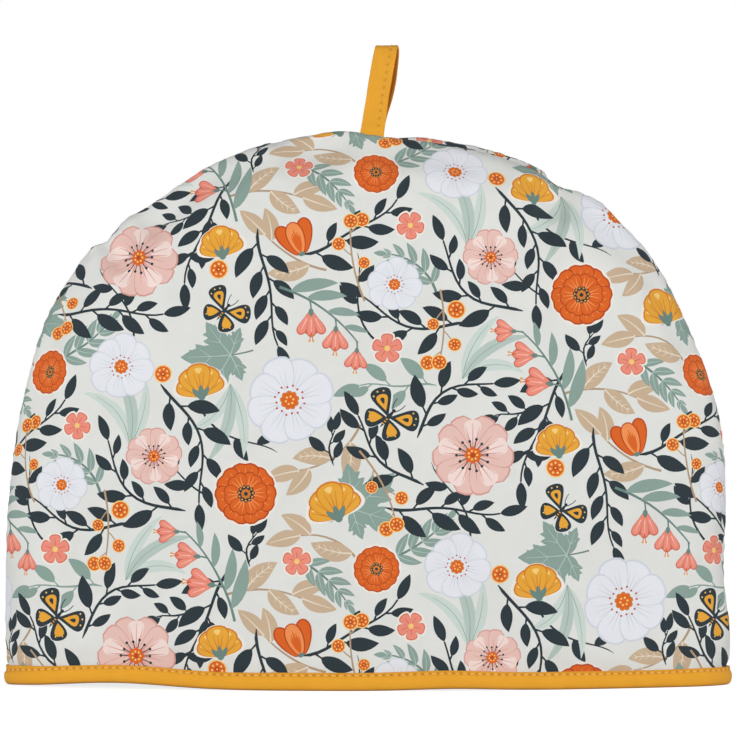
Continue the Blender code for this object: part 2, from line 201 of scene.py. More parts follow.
@dataclass(frozen=True)
class CosyForm:
    """The driving sizes that the panels, the binding and the loop share."""

    panel_half_width: float = 183.6
    panel_bottom: float = 3.0
    straight_to: float = 9.5  # the panel stands straight inside the binding, up to here
    clearance: float = 0.3
    crown_depth: float = 38.0
    roll_depth: float = 14.0
    roll_width: float = 22.0
    hem_pinch: float = 1.3
    hem_pinch_height: float = 16.0
    pad_thick: float = 7.5
    seam_thick: float = 7.0
    seam_thick_width: float = 40.0
    hem_thick: float = 4.6
    hem_thick_height: float = 30.0

    def seam_radius(self, angle: Array) -> Array:
        """Return how far the seam is from the middle of the hem, at angles in degrees."""
        x, z = SEAM_POINTS.T
        knots = np.degrees(np.arctan2(z, x))
        straight = self.panel_half_width / np.maximum(np.abs(np.cos(np.radians(angle))), 0.1)
        inside = (angle > knots[0]) & (angle < knots[-1])
        radius = np.where(inside, curve_through(knots, np.hypot(x, z), angle), straight)
        for fold in SEAM_FOLDS:
            radius = radius + fold.outward * hump(angle, fold.angle, fold.half_width)
        return radius

    def face_depth(self, x: Array, z: Array, side: Side) -> Array:
        """Return how far a panel's face stands off the seam plane at (x, z)."""
        level = np.maximum(z, self.straight_to)
        angle = np.degrees(np.arctan2(level, x))
        radius = self.seam_radius(angle)
        share = np.clip(np.hypot(x, level) / radius, 0, 1)
        inset = (1 - share) * radius
        roll = np.sqrt(1 - (1 - np.clip(inset / self.roll_width, 0, 1)) ** 2)
        depth = self.crown_depth * (1 - share**2) + self.roll_depth * roll
        above_hem = smooth_step((level - self.straight_to) / self.hem_pinch_height)
        depth -= self.hem_pinch * roll * (1 - above_hem)
        for fold in SEAM_FOLDS:
            if side in fold.sides:
                across = hump(angle, fold.angle, fold.half_width)
                depth -= fold.trough * across * (1 - smooth_step(inset / fold.reach)) * roll
        for dent in FACE_DENTS:
            if dent.side is side:
                place = hump(x, dent.x, dent.half_width) * hump(level, dent.z, dent.half_height)
                depth -= dent.depth * place * roll * above_hem
        return np.maximum(depth, 0)

    def pad_thickness(self, x: Array, z: Array) -> Array:
        """Return the pad's thickness, which is less at the seam and the hem."""
        level = np.maximum(z, self.straight_to)
        radius = self.seam_radius(np.degrees(np.arctan2(level, x)))
        inset = np.maximum(radius - np.hypot(x, level), 0)
        grown = smooth_step(inset / self.seam_thick_width)
        thick = self.seam_thick + (self.pad_thick - self.seam_thick) * grown
        above_hem = (level - self.straight_to) / (self.hem_thick_height - self.straight_to)
        return self.hem_thick + (thick - self.hem_thick) * smooth_step(above_hem)

    def seam_top_at(self, x: float) -> float:
        """Return the seam's height above a place on the hem."""
        angles = np.linspace(*CROWN_ANGLES, CROWN_POINTS)
        across, up = polar_places(self.seam_radius(angles), angles)
        return float(np.interp(x, across[::-1], up[::-1]))


# The print, drawn flat in millimetres -----------


class Ink(Enum):
    """The print's inks."""

    GROUND = (227, 228, 224)
    NAVY = (43, 55, 61)
    SAGE = (140, 164, 155)
    SAGE_DARK = (108, 136, 128)
    SAGE_PALE = (184, 201, 193)
    MINT = (205, 218, 211)
    BEIGE = (203, 178, 149)
    BEIGE_DARK = (181, 154, 124)
    BEIGE_PALE = (232, 219, 200)
    ORANGE = (222, 101, 33)
    ORANGE_DARK = (186, 70, 26)
    ORANGE_PALE = (241, 147, 84)
    AMBER = (233, 168, 56)
    AMBER_DARK = (213, 124, 46)
    AMBER_PALE = (247, 206, 122)
    CORAL = (239, 144, 124)
    CORAL_DARK = (211, 110, 94)
    CORAL_PALE = (248, 190, 176)
    PINK = (234, 195, 185)
    PINK_DARK = (217, 158, 147)
    PINK_PALE = (245, 222, 215)
    LILAC = (232, 234, 240)
    LILAC_DARK = (211, 215, 224)
    HALO = (240, 234, 224)


INK_NUMBERS = {ink: number for number, ink in enumerate(Ink)}
UNPRINTED = INK_NUMBERS[Ink.GROUND]


class Patch(NamedTuple):
    """One closed outline on the flat cloth, in millimetres, filled with one ink."""

    ink: Ink
    outline: Array


Drawing = list[Patch]
Spot = tuple[float, float] | Array
ORIGIN = (0, 0)
FULL_TURN = 360
UP = 90
SIDE_TO_SIDE = (-1, 0, 1)


def heading(angle: float) -> Array:
    """Return the unit vector at an angle in degrees."""
    return np.array((math.cos(math.radians(angle)), math.sin(math.radians(angle))))


def moved(drawing: Drawing, place: Spot, turn: float = 0, grow: float = 1) -> Drawing:
    """Return a drawing grown, turned by degrees and moved to a place."""
    axes = np.stack((heading(turn), heading(turn + 90))) * grow
    return [Patch(p.ink, p.outline @ axes + np.asarray(place)) for p in drawing]


def around(count: int, start: float = 0) -> list[float]:
    """Return headings spread evenly over a full turn."""
    return [start + FULL_TURN * k / count for k in range(count)]


def spread(count: int, first: float, last: float) -> list[tuple[int, float]]:
    """Return each number up to count with its share, evenly from first to last."""
    return [(k, first + (last - first) * k / max(count - 1, 1)) for k in range(count)]


class Spine(NamedTuple):
    """A line from the origin along +X: its points and headings in degrees."""

    points: Array
    angles: Array

    def at(self, share: float) -> Array:
        """Return the place at a share of the length."""
        where = share * (len(self.points) - 1)
        return np.array([np.interp(where, range(len(self.points)), row) for row in self.points.T])

    def aim(self, share: float) -> float:
        """Return the heading at a share of the length."""
        return float(np.interp(share * (len(self.angles) - 1), range(len(self.angles)), self.angles))

    def widened(self, ink: Ink, half_widths: Array) -> Patch:
        """Return the patch that stands off the line by the given half widths."""
        turn = np.radians(self.angles)
        aside = joined(-np.sin(turn), np.cos(turn)) * half_widths[:, None]
        left, right = self.points + aside, self.points - aside
        if half_widths[0] == 0 == half_widths[-1]:
            left = left[1:-1]
        return Patch(ink, np.concatenate((right, left[::-1])))

    def tapered(self, ink: Ink, start: float, end: float) -> Patch:
        """Return the patch whose half width goes evenly from start to end."""
        return self.widened(ink, np.linspace(start, end, len(self.points)))


def bent_spine(length: float, bend: float, steps: int, sway: float = 0) -> Spine:
    """Return a spine that turns by bend from end to end, and wavers by sway."""
    share = np.linspace(0, 1, steps + 1)
    angles = bend * share + sway * np.sin(2 * math.pi * share)
    mid = np.radians((angles[:-1] + angles[1:]) / 2)
    points = np.zeros((steps + 1, 2))
    points[1:, 0] = np.cumsum(np.cos(mid)) * length / steps
    points[1:, 1] = np.cumsum(np.sin(mid)) * length / steps
    return Spine(points, angles)


BLADE_FULLNESS = 0.85  # less than 1 fills a blade towards its ends
PETAL_STEPS, PETAL_NARROWING = 9, 0.22
STEM_STEP, STEM_TURN_STEP, STEM_LEAST_STEPS = 5, 25, 3  # millimetres and degrees that take a step
SCALLOP_ROUNDNESS, LOBE_POINTS = 0.7, 4


def blade(
    ink: Ink, length: float, width: float, bend: float = 0.0, belly: float = 0.45, steps: int = 8
) -> Patch:
    """A leaf pointed at both ends, widest at the share belly of its length."""
    share = np.linspace(0, 1, steps + 1)
    power = math.log(0.5) / math.log(belly)
    half = width / 2 * np.sin(math.pi * share**power) ** BLADE_FULLNESS
    half[0] = half[-1] = 0
    return bent_spine(length, bend, steps).widened(ink, half)


def petal(ink: Ink, length: float, width: float, notch: float = 0, belly: float = 0.66) -> Patch:
    """A petal, narrow at the origin and broad at its tip, which may be notched."""
    turn = np.linspace(0, math.pi, PETAL_STEPS + 1)
    across = width / 2 * np.sin(turn) * (1 - PETAL_NARROWING * np.cos(turn))
    along = length * ((1 - np.cos(turn)) / 2) ** (math.log(belly) / math.log(0.5))
    right = joined(along, -across)
    left = joined(along, across)[::-1][1:-1]
    right[PETAL_STEPS, 0] -= notch
    return Patch(ink, np.concatenate((right, left)))


def stem(ink: Ink, length: float, width: float, bend: float, taper: float = 0.45, steps: int = 0) -> Patch:
    """A stem that starts at the origin, bends and thins out."""
    steps = steps or max(STEM_LEAST_STEPS, round(length / STEM_STEP + abs(bend) / STEM_TURN_STEP))
    return bent_spine(length, bend, steps).tapered(ink, width / 2, width / 2 * taper)


def disc(ink: Ink, radius: float, place: Spot = ORIGIN, sides: int = 10, squash: float = 1) -> Patch:
    """A round spot."""
    turn = np.linspace(0, 2 * math.pi, sides, endpoint=False)
    ring = joined(np.cos(turn) * radius, np.sin(turn) * radius * squash)
    return Patch(ink, ring + np.asarray(place))


def wavy_disc(ink: Ink, radius: float, lobes: int, wave: float) -> Patch:
    """A round shape with a scalloped edge."""
    turn = np.linspace(0, 2 * math.pi, lobes * LOBE_POINTS, endpoint=False)
    scallop = 1 - np.abs(np.cos(turn * lobes / 2)) ** SCALLOP_ROUNDNESS
    radii = radius * (1 - 2 * wave * scallop)
    return Patch(ink, joined(np.cos(turn) * radii, np.sin(turn) * radii))


HALO_WIDTH = 0.75  # how far a pale edge shows round a bloom


@dataclass
class Sketch:
    """A drawing in the making, whose lengths and places are shares of its size."""

    size: float
    drawing: Drawing = field(default_factory=list)

    def spot(self, aim: float, out: float, at: Spot) -> Array:
        """Return the place in millimetres that lies out from a spot, towards aim."""
        return (heading(aim) * out + np.asarray(at)) * self.size

    def add(
        self, shape: Callable[..., Patch], ink: Ink, *lengths: float,
        aim: float = 0.0, out: float = 0.0, at: Spot = ORIGIN, **style: float,
    ) -> None:
        """Add a shape.

        Args:
            shape: What draws it along +X: petal, blade, stem or wavy_disc.
            ink: Its ink.
            lengths: The shape's lengths, such as its length, width and notch.
            aim: The heading that it is turned to.
            out: How far out along its heading it starts.
            at: The spot that it starts from.
            style: The shape's other inputs.
        """
        patch = shape(ink, *(length * self.size for length in lengths), **style)
        self.drawing += moved([patch], self.spot(aim, out, at), aim)

    def halo(self, ink: Ink, length: float, width: float, aim: float) -> None:
        """Add a petal that shows as a rim round one of the given length and width."""
        rim = HALO_WIDTH / self.size
        self.add(petal, ink, length + rim, width + 2 * rim, aim=aim)

    def veins(
        self, ink: Ink, length: float, width: float, aim: float, out: float, fans: tuple[float, ...],
        bend: float = 0.5, shorter: float = 0.0, steps: int = 2,
    ) -> None:
        """Add thin lines that fan out, bent and shortened by their degrees off aim."""
        for fan in fans:
            reach = length - shorter * abs(fan)
            self.add(stem, ink, reach, width, aim=aim + fan, out=out, bend=fan * bend, taper=0.3, steps=steps)

    def dot(
        self, ink: Ink, radius: float, aim: float = 0.0, out: float = 0.0, at: Spot = ORIGIN,
        sides: int = 6, squash: float = 1.0,
    ) -> None:
        """Add a round spot, which isn't turned."""
        self.drawing.append(disc(ink, radius * self.size, self.spot(aim, out, at), sides, squash))

    def dots(self, ink: Ink, radius: float, count: int, out: float, start: float = 0.0) -> None:
        """Add a ring of round spots."""
        for aim in around(count, start):
            self.dot(ink, radius, aim, out)


PLAIN_LEAF = 17.5  # a leaf shorter than this has no side veins
LEAF_STEPS = 12


def veined_leaf(length: float, width: float, bend: float) -> Drawing:
    """A broad beige leaf with a pale midrib, and side veins if it is large."""
    drawing = [blade(Ink.BEIGE, length, width, bend, belly=0.42, steps=LEAF_STEPS)]
    drawing.append(stem(Ink.BEIGE_PALE, length * 0.86, 0.8, bend * 0.86, taper=0.3))
    if length < PLAIN_LEAF:
        return drawing
    spine = bent_spine(length, bend, LEAF_STEPS)
    for row in (3, 5, 7, 9):
        reach = width * 0.36 * math.sin(math.pi * row / LEAF_STEPS) ** 0.6
        twig = stem(Ink.BEIGE_PALE, reach, 0.38, 0, taper=0.4, steps=2)
        for side in BOTH_WAYS:
            drawing += moved([twig], spine.points[row], spine.angles[row] + side * 42)
    return drawing


VINE_SWAY = 16  # degrees by which a vine wavers
INNER_LEAF_LOSS = 0.0042  # how much shorter a leaf is inside a bend, for each degree of it


def vine(
    length: float, bend: float, every: float, leaf: float, ink: Ink = Ink.NAVY,
    slim: float = 0.42, thick: float = 1.15,
) -> Drawing:
    """A stem with leaves by turns on its left and right and one at its tip."""
    steps = max(6, round(length / 4))
    spine = bent_spine(length, bend, steps, sway=VINE_SWAY)
    half = thick / 2 * np.linspace(1, 0.5, steps + 1)
    half[0] *= 0.3
    drawing = [spine.widened(ink, half)]
    for k, share in spread(max(4, round(length / every)), 0.12, 0.84):
        side = BOTH_WAYS[k % 2]
        place, aim = spine.at(share), spine.aim(share) + side * (52 - 16 * share)
        size = leaf * (1 - 0.32 * share) * (1 + 0.09 * math.sin(2.4 * k + length))
        if side * bend > 0:
            size *= 1 - INNER_LEAF_LOSS * abs(bend)
        drawing += moved([stem(ink, size * 0.24, thick * 0.62, 0, taper=0.8, steps=2)], place, aim)
        foot = place + heading(aim) * size * 0.2
        drawing += moved([blade(ink, size, size * slim, -side * 22)], foot, aim)
    return drawing + moved([blade(ink, leaf * 0.8, leaf * slim * 0.72, 6)], spine.points[-1], bend)


def tendril(length: float, bend: float) -> Drawing:
    """A navy stem that hooks back at its end, with two small leaves."""
    steps = max(8, round(length / 3.5))
    share = np.linspace(0, 1, steps + 1)
    angles = bend * (1.35 * share - 0.9 * share**4)
    walk = joined(np.cos(np.radians(angles)), np.sin(np.radians(angles))) * length / steps
    points = np.concatenate((np.zeros((1, 2)), np.cumsum((walk[1:] + walk[:-1]) / 2, axis=0)))
    half = np.linspace(0.6, 0.27, steps + 1)
    half[-1] = 0.1
    drawing = [Spine(points, angles).widened(Ink.NAVY, half)]
    side = math.copysign(1, bend)
    for at, lean, size in ((0.52, -50, 12.5), (0.74, 46, 11)):
        row = round(at * steps)
        leaf = blade(Ink.NAVY, size, size * 0.42, -side * lean * 0.4)
        drawing += moved([leaf], points[row], angles[row] + side * lean)
    return drawing


def frond(length: float, bend: float) -> Drawing:
    """A fern frond of five pairs of leaflets."""
    spine = bent_spine(length, bend, 10)
    drawing = [spine.tapered(Ink.SAGE_DARK, 0.7, 0.3)]
    for _, share in spread(5, 0.2, 0.94):
        size = length * 0.36 * math.sin(math.pi * (0.22 + 0.72 * share)) ** 0.8
        for side in BOTH_WAYS:
            leaf = [blade(Ink.SAGE, size, size * 0.34, -side * 26, belly=0.4, steps=6)]
            leaf.append(stem(Ink.SAGE_PALE, size * 0.8, 0.4, -side * 20, taper=0.4, steps=3))
            drawing += moved(leaf, spine.at(share), bend * share + side * (56 - 18 * share))
    return drawing + moved([blade(Ink.SAGE, length * 0.2, length * 0.08)], spine.points[-1], bend)


def lobed_leaf(length: float, bend: float) -> Drawing:
    """A sage leaf of five toothed lobes with pale veins, on a short stalk."""
    drawing = [stem(Ink.SAGE_DARK, length * 0.34, 0.8, bend * 0.4, taper=0.8)]
    foot = heading(bend * 0.2) * length * 0.33
    veins: Drawing = []
    for aim, share in ((-112, 0.42), (112, 0.42), (-56, 0.6), (56, 0.6), (0, 0.72)):
        reach = length * share
        lobe = [blade(Ink.SAGE, reach, reach * 0.46, bend * 0.3, belly=0.4)]
        rib = [stem(Ink.SAGE_PALE, reach * 0.84, 0.5, bend * 0.25, taper=0.3)]
        for side in BOTH_WAYS:
            for along, far in ((0.36, 0.42), (0.6, 0.28)):
                tooth = blade(Ink.SAGE, reach * far, reach * far * 0.46, side * 14)
                lobe += moved([tooth], (reach * along, 0), side * 36)
            twig = stem(Ink.SAGE_PALE, reach * 0.3, 0.36, side * 10, taper=0.3, steps=2)
            rib += moved([twig], (reach * 0.38, 0), side * 36)
        drawing += moved(lobe, foot, bend * 0.4 + aim)
        veins += moved(rib, foot, bend * 0.4 + aim)
    return drawing + veins


def dog_rose(radius: float) -> Drawing:
    """An open rose of five notched petals, with veins and a ring of stamens."""
    rose = Sketch(radius)
    fans = (-24, -12, 0, 12, 24)
    for aim in around(5, UP):
        rose.add(petal, Ink.PINK_DARK, 1.02, 1.14, 0.13, aim=aim)
        rose.add(petal, Ink.PINK, 0.98, 1.07, 0.13, aim=aim)
        rose.add(petal, Ink.PINK_PALE, 0.6, 0.42, aim=aim, out=0.3)
        rose.veins(Ink.PINK_DARK, 0.62, 0.035, aim, out=0.2, fans=fans, shorter=0.006, steps=3)
    for k, aim in enumerate(around(14)):
        reach = 0.36 + 0.05 * (k % 2)
        rose.add(stem, Ink.NAVY, reach, 0.03, aim=aim, bend=0, taper=0.7, steps=1)
        rose.dot(Ink.NAVY, 0.04, aim, reach)
    rose.add(wavy_disc, Ink.ORANGE, 0.22, lobes=8, wave=0.09)
    rose.dots(Ink.AMBER_PALE, 0.03, 7, out=0.11)
    rose.dot(Ink.ORANGE_DARK, 0.06, sides=8)
    return rose.drawing


def poppy(radius: float) -> Drawing:
    """A full orange bloom: two rings of broad petals round a dark eye."""
    bloom = Sketch(radius)
    for aim in around(7):
        bloom.halo(Ink.HALO, 1.03, 0.9, aim)
    for reach, width, count, start in ((1, 0.86, 7, 0), (0.72, 0.62, 6, 24)):
        for aim in around(count, start):
            bloom.add(petal, Ink.ORANGE_DARK, reach * 1.03, width * 1.05, 0.05, aim=aim)
            bloom.add(petal, Ink.ORANGE, reach * 0.98, width * 0.96, 0.05, aim=aim)
            far, fans = reach * 0.34, (-13, 0, 13)
            bloom.veins(Ink.ORANGE_PALE, reach * 0.5, 0.05, aim, out=far, fans=fans, bend=0.7, steps=3)
    bloom.add(wavy_disc, Ink.NAVY, 0.3, lobes=11, wave=0.1)
    bloom.add(wavy_disc, Ink.AMBER_DARK, 0.17, lobes=8, wave=0.1)
    bloom.dots(Ink.AMBER, 0.032, 11, out=0.23)
    bloom.dot(Ink.NAVY, 0.07, sides=8)
    return bloom.drawing


def anemone(radius: float) -> Drawing:
    """A pale bloom of eight round petals with faint veins and an orange eye."""
    bloom = Sketch(radius)
    for k, aim in enumerate(around(8, 11)):
        length = 1 + 0.05 * math.sin(2.1 * k)
        bloom.add(petal, Ink.LILAC_DARK, length * 1.03, 0.74, aim=aim)
        bloom.add(petal, Ink.LILAC, length * 0.985, 0.68, aim=aim)
        bloom.veins(Ink.LILAC_DARK, 0.46, 0.026, aim, out=0.28, fans=(-10, 0, 10))
    for k, aim in enumerate(around(16)):
        bloom.dot(Ink.ORANGE_DARK, 0.028, aim, 0.31 + 0.04 * (k % 2))
    bloom.add(wavy_disc, Ink.AMBER_DARK, 0.23, lobes=9, wave=0.08)
    bloom.add(wavy_disc, Ink.ORANGE, 0.19, lobes=9, wave=0.08)
    bloom.dots(Ink.AMBER_PALE, 0.028, 6, out=0.09, start=20)
    return bloom.drawing


def buttercup(radius: float) -> Drawing:
    """A cup of amber petals seen from the side, with lines and a green foot."""
    cup = Sketch(radius)
    for lean in (-50, -26, 0, 26, 50):
        length = 1.15 - 0.003 * abs(lean) + HALO_WIDTH / radius
        cup.add(petal, Ink.HALO, length, 0.9, aim=UP + lean)
    outer, inner, middle = (0.94, 0.7), (1.08, 0.74), (1.15, 0.8)
    rows = ((-48, outer), (48, outer), (-25, inner), (25, inner), (0, middle))
    for lean, (reach, width) in rows:
        aim = UP + lean
        cup.add(petal, Ink.AMBER_DARK, reach * 1.03, width * 1.06, aim=aim)
        cup.add(petal, Ink.AMBER, reach * 0.98, width * 0.96, aim=aim)
        cup.veins(Ink.AMBER_DARK, 0.56, 0.04, aim, out=0.3, fans=(-11, 0, 11))
        cup.add(petal, Ink.AMBER_PALE, 0.22, 0.24, aim=aim, out=reach * 0.7)
    for side in SIDE_TO_SIDE:
        cup.add(blade, Ink.SAGE_DARK, 0.5, 0.2, aim=UP + side * 38, at=(0, -0.06))
    cup.dot(Ink.SAGE_DARK, 0.13, sides=8)
    return cup.drawing


def tulip(height: float) -> Drawing:
    """An orange tulip seen from the side, with flames up its petals."""
    bloom = Sketch(height)
    for side in BOTH_WAYS:
        aim, foot = UP - side * 17, (side * 0.1, 0)
        bloom.add(petal, Ink.ORANGE_DARK, 0.97, 0.44, aim=aim, at=foot, belly=0.55)
        bloom.add(petal, Ink.ORANGE, 0.9, 0.36, aim=aim, out=0.03, at=foot, belly=0.55)
    bloom.add(petal, Ink.ORANGE_DARK, 0.92, 0.5, aim=UP, belly=0.5)
    bloom.add(petal, Ink.ORANGE_PALE, 0.87, 0.43, aim=UP, out=0.02, belly=0.5)
    for fan in (-14, -7, 0, 7, 14):
        length, aim = 0.66 - abs(fan) * 0.012, UP - fan * 1.3
        bloom.add(blade, Ink.ORANGE, length, 0.07, aim=aim, at=(0, 0.07), bend=fan * 0.6)
    bloom.dot(Ink.SAGE_DARK, 0.09, at=(0, 0.015), sides=8, squash=0.7)
    return bloom.drawing


def bell(size: float) -> Drawing:
    """A coral bell with a scalloped lip, opening along +X."""
    bloom = Sketch(size)
    bloom.add(petal, Ink.CORAL_DARK, 0.97, 0.78, belly=0.6)
    for aim in (-27, 27, 0):
        bloom.add(petal, Ink.CORAL_DARK, 1.06, 0.37, aim=aim, belly=0.7)
        bloom.add(petal, Ink.CORAL, 1, 0.31, aim=aim, belly=0.7)
        bloom.add(stem, Ink.CORAL_PALE, 0.5, 0.05, aim=aim, out=0.36, bend=0, taper=0.4, steps=1)
    mouth = (0.88, 0)
    for aim in (-12, 12):
        bloom.add(stem, Ink.ORANGE, 0.34, 0.035, aim=aim, at=mouth, bend=0, taper=1, steps=1)
        bloom.dot(Ink.AMBER, 0.05, aim, out=0.34, at=mouth)
    bloom.add(blade, Ink.SAGE_DARK, 0.36, 0.2, at=(-0.1, 0))
    return bloom.drawing


def bell_spray(length: float, bend: float, bells: int, size: float) -> Drawing:
    """An arching sage stem hung with coral bells along one side."""
    spine = bent_spine(length, bend, 10)
    side = math.copysign(1, bend)
    drawing = [spine.tapered(Ink.SAGE_DARK, 0.65, 0.35)]
    for _, share in spread(bells, 0.34, 0.98):
        place, aim = spine.at(share), bend * share + side * (62 - 26 * share)
        grow = size * (1 - 0.3 * share)
        stalk = stem(Ink.SAGE_DARK, grow * 0.42, 0.8, side * 18, taper=0.9, steps=3)
        drawing += moved([stalk], place, aim - side * 9)
        drawing += moved(bell(grow), place + heading(aim) * grow * 0.4, aim + side * 6)
    for share, far in ((0.12, 0.5), (0.3, 0.42), (0.55, 0.34), (0.78, 0.26)):
        leaf = blade(Ink.SAGE, length * far, length * far * 0.26, side * 24)
        drawing += moved([leaf], spine.at(share), bend * share - side * 44)
    return drawing


def berry(radius: float) -> Drawing:
    """A round orange berry with a pale rim and pale seeds."""
    fruit = Sketch(radius)
    fruit.dot(Ink.AMBER_PALE, 1.16, sides=14)
    fruit.dot(Ink.ORANGE, 1, sides=14)
    fruit.dots(Ink.AMBER_PALE, 0.15, 7, out=0.62, start=25)
    fruit.dot(Ink.ORANGE_DARK, 0.3, sides=8)
    fruit.dot(Ink.AMBER_PALE, 0.12)
    return fruit.drawing


def berry_sprig(length: float, bend: float, every: float, radius: float) -> Drawing:
    """A thin beige stem with berries to both sides and one at its tip."""
    spine = bent_spine(length, bend, 8)
    drawing = [spine.tapered(Ink.BEIGE_DARK, 0.5, 0.35)]
    for k, share in spread(max(2, round(length / every)), 0.3, 0.9):
        side = BOTH_WAYS[k % 2]
        place, aim = spine.at(share), bend * share + side * 50
        drawing += moved([stem(Ink.BEIGE_DARK, radius * 2.2, 0.6, -side * 20, taper=0.9)], place, aim)
        foot = place + heading(aim - side * 10) * radius * 2.6
        drawing += moved(berry(radius * (0.8 + 0.1 * (k % 3))), foot)
    return drawing + moved(berry(radius), spine.points[-1] + heading(bend) * radius * 0.6)


def beige_branch(length: float, bend: float, every: float, leaf: float) -> Drawing:
    """A thin beige stem with broad leaves that have pale ribs."""
    spine = bent_spine(length, bend, 9)
    drawing = [spine.tapered(Ink.BEIGE_DARK, 0.6, 0.35)]
    for k, share in spread(max(2, round(length / every)), 0.25, 0.87):
        side, size = -BOTH_WAYS[k % 2], leaf * (1 - 0.25 * share)
        broad = veined_leaf(size, size * 0.46, -side * 30)
        drawing += moved(broad, spine.at(share), bend * share + side * 48)
    return drawing + moved(veined_leaf(leaf * 0.8, leaf * 0.36, 10), spine.points[-1], bend)


def grasses(length: float, bend: float) -> Drawing:
    """Three pale blades that fan from one foot."""
    drawing: Drawing = []
    for aim, share, ink in ((-20, 0.8, Ink.MINT), (16, 0.9, Ink.MINT), (-2, 1, Ink.SAGE_PALE)):
        grass = [blade(ink, length * share, length * 0.14, bend + aim, steps=10)]
        grass.append(stem(Ink.SAGE, length * share * 0.8, 0.4, (bend + aim) * 0.8, taper=0.4))
        drawing += moved(grass, ORIGIN, aim)
    return drawing


def butterfly(span: float) -> Drawing:
    """A navy and amber butterfly seen from above, its head towards +Y."""
    insect = Sketch(span)
    hind_off, fore_off = 128, 58  # degrees from the head
    for side in BOTH_WAYS:
        insect.halo(Ink.GROUND, 0.4, 0.32, UP - side * hind_off)
        insect.halo(Ink.GROUND, 0.54, 0.36, UP - side * fore_off)
    for side in BOTH_WAYS:
        hind, fore = UP - side * hind_off, UP - side * fore_off
        insect.add(petal, Ink.NAVY, 0.4, 0.32, aim=hind, at=(0, -0.02))
        insect.add(petal, Ink.AMBER, 0.24, 0.18, aim=hind, out=0.1)
        insect.add(petal, Ink.NAVY, 0.54, 0.36, aim=fore, belly=0.72)
        insect.add(petal, Ink.AMBER, 0.3, 0.2, aim=fore, out=0.12, belly=0.7)
        insect.add(petal, Ink.NAVY, 0.12, 0.07, aim=fore, out=0.24)
        for far, off in ((0.47, -8), (0.48, 5), (0.44, 17)):
            insect.dot(Ink.AMBER_PALE, 0.017, fore + off, far)
        for far, off in ((0.34, -14), (0.35, 8)):
            insect.dot(Ink.AMBER_PALE, 0.015, hind + off, far)
        aim, head = UP - side * 46, (0, 0.12)
        insect.add(stem, Ink.NAVY, 0.26, 0.018, aim=aim, at=head, bend=side * 50, taper=0.8, steps=4)
    insect.add(blade, Ink.NAVY, 0.4, 0.075, aim=UP, at=(0, -0.23), belly=0.55)
    insect.dot(Ink.NAVY, 0.035, at=(0, 0.15), sides=8)
    for back in (0.04, 0.09, 0.14):
        insect.dot(Ink.AMBER, 0.024, at=(0, -back), squash=0.5)
    return insect.drawing


def small_flower(radius: float) -> Drawing:
    """A little coral flower of five petals."""
    bloom = Sketch(radius)
    for aim in around(5, 18):
        bloom.halo(Ink.HALO, 1.05, 0.84, aim)
    for aim in around(5, 18):
        bloom.add(petal, Ink.CORAL_DARK, 1.05, 0.84, aim=aim)
        bloom.add(petal, Ink.CORAL, 0.98, 0.74, aim=aim)
        bloom.add(stem, Ink.CORAL_DARK, 0.5, 0.07, aim=aim, out=0.25, bend=0, taper=0.4, steps=1)
    bloom.dot(Ink.AMBER_PALE, 0.2, sides=8)
    return bloom.drawing


class Motif(Enum):
    """What can be placed in the repeat, with what draws it from a size, and a bend if it grows."""

    VINE = (vine, {"every": 7.5, "leaf": 16.5, "thick": 1.6})
    FINE_VINE = (vine, {"every": 6, "leaf": 11.5, "slim": 0.46})
    SAGE_VINE = (vine, {"every": 8, "leaf": 17, "ink": Ink.SAGE})
    TENDRIL = (tendril, {})
    GRASSES = (grasses, {})
    BEIGE = (beige_branch, {"every": 14, "leaf": 21.5})
    FROND = (frond, {})
    LOBED_LEAF = (lobed_leaf, {})
    BELLS = (bell_spray, {"bells": 3, "size": 13.4})
    BERRIES = (berry_sprig, {"every": 11, "radius": 3.2})
    ROSE = (dog_rose, {})
    POPPY = (poppy, {})
    ANEMONE = (anemone, {})
    BUTTERCUP = (buttercup, {})
    TULIP = (tulip, {})
    SMALL = (small_flower, {})
    BUTTERFLY = (butterfly, {})
    BERRY = (berry, {})

    def drawn(self, *sizes: float) -> Drawing:
        """Draw it along +X."""
        draw, style = self.value
        return draw(*sizes, **style)


TILE_WIDTH = 158
TILE_HEIGHT = 188

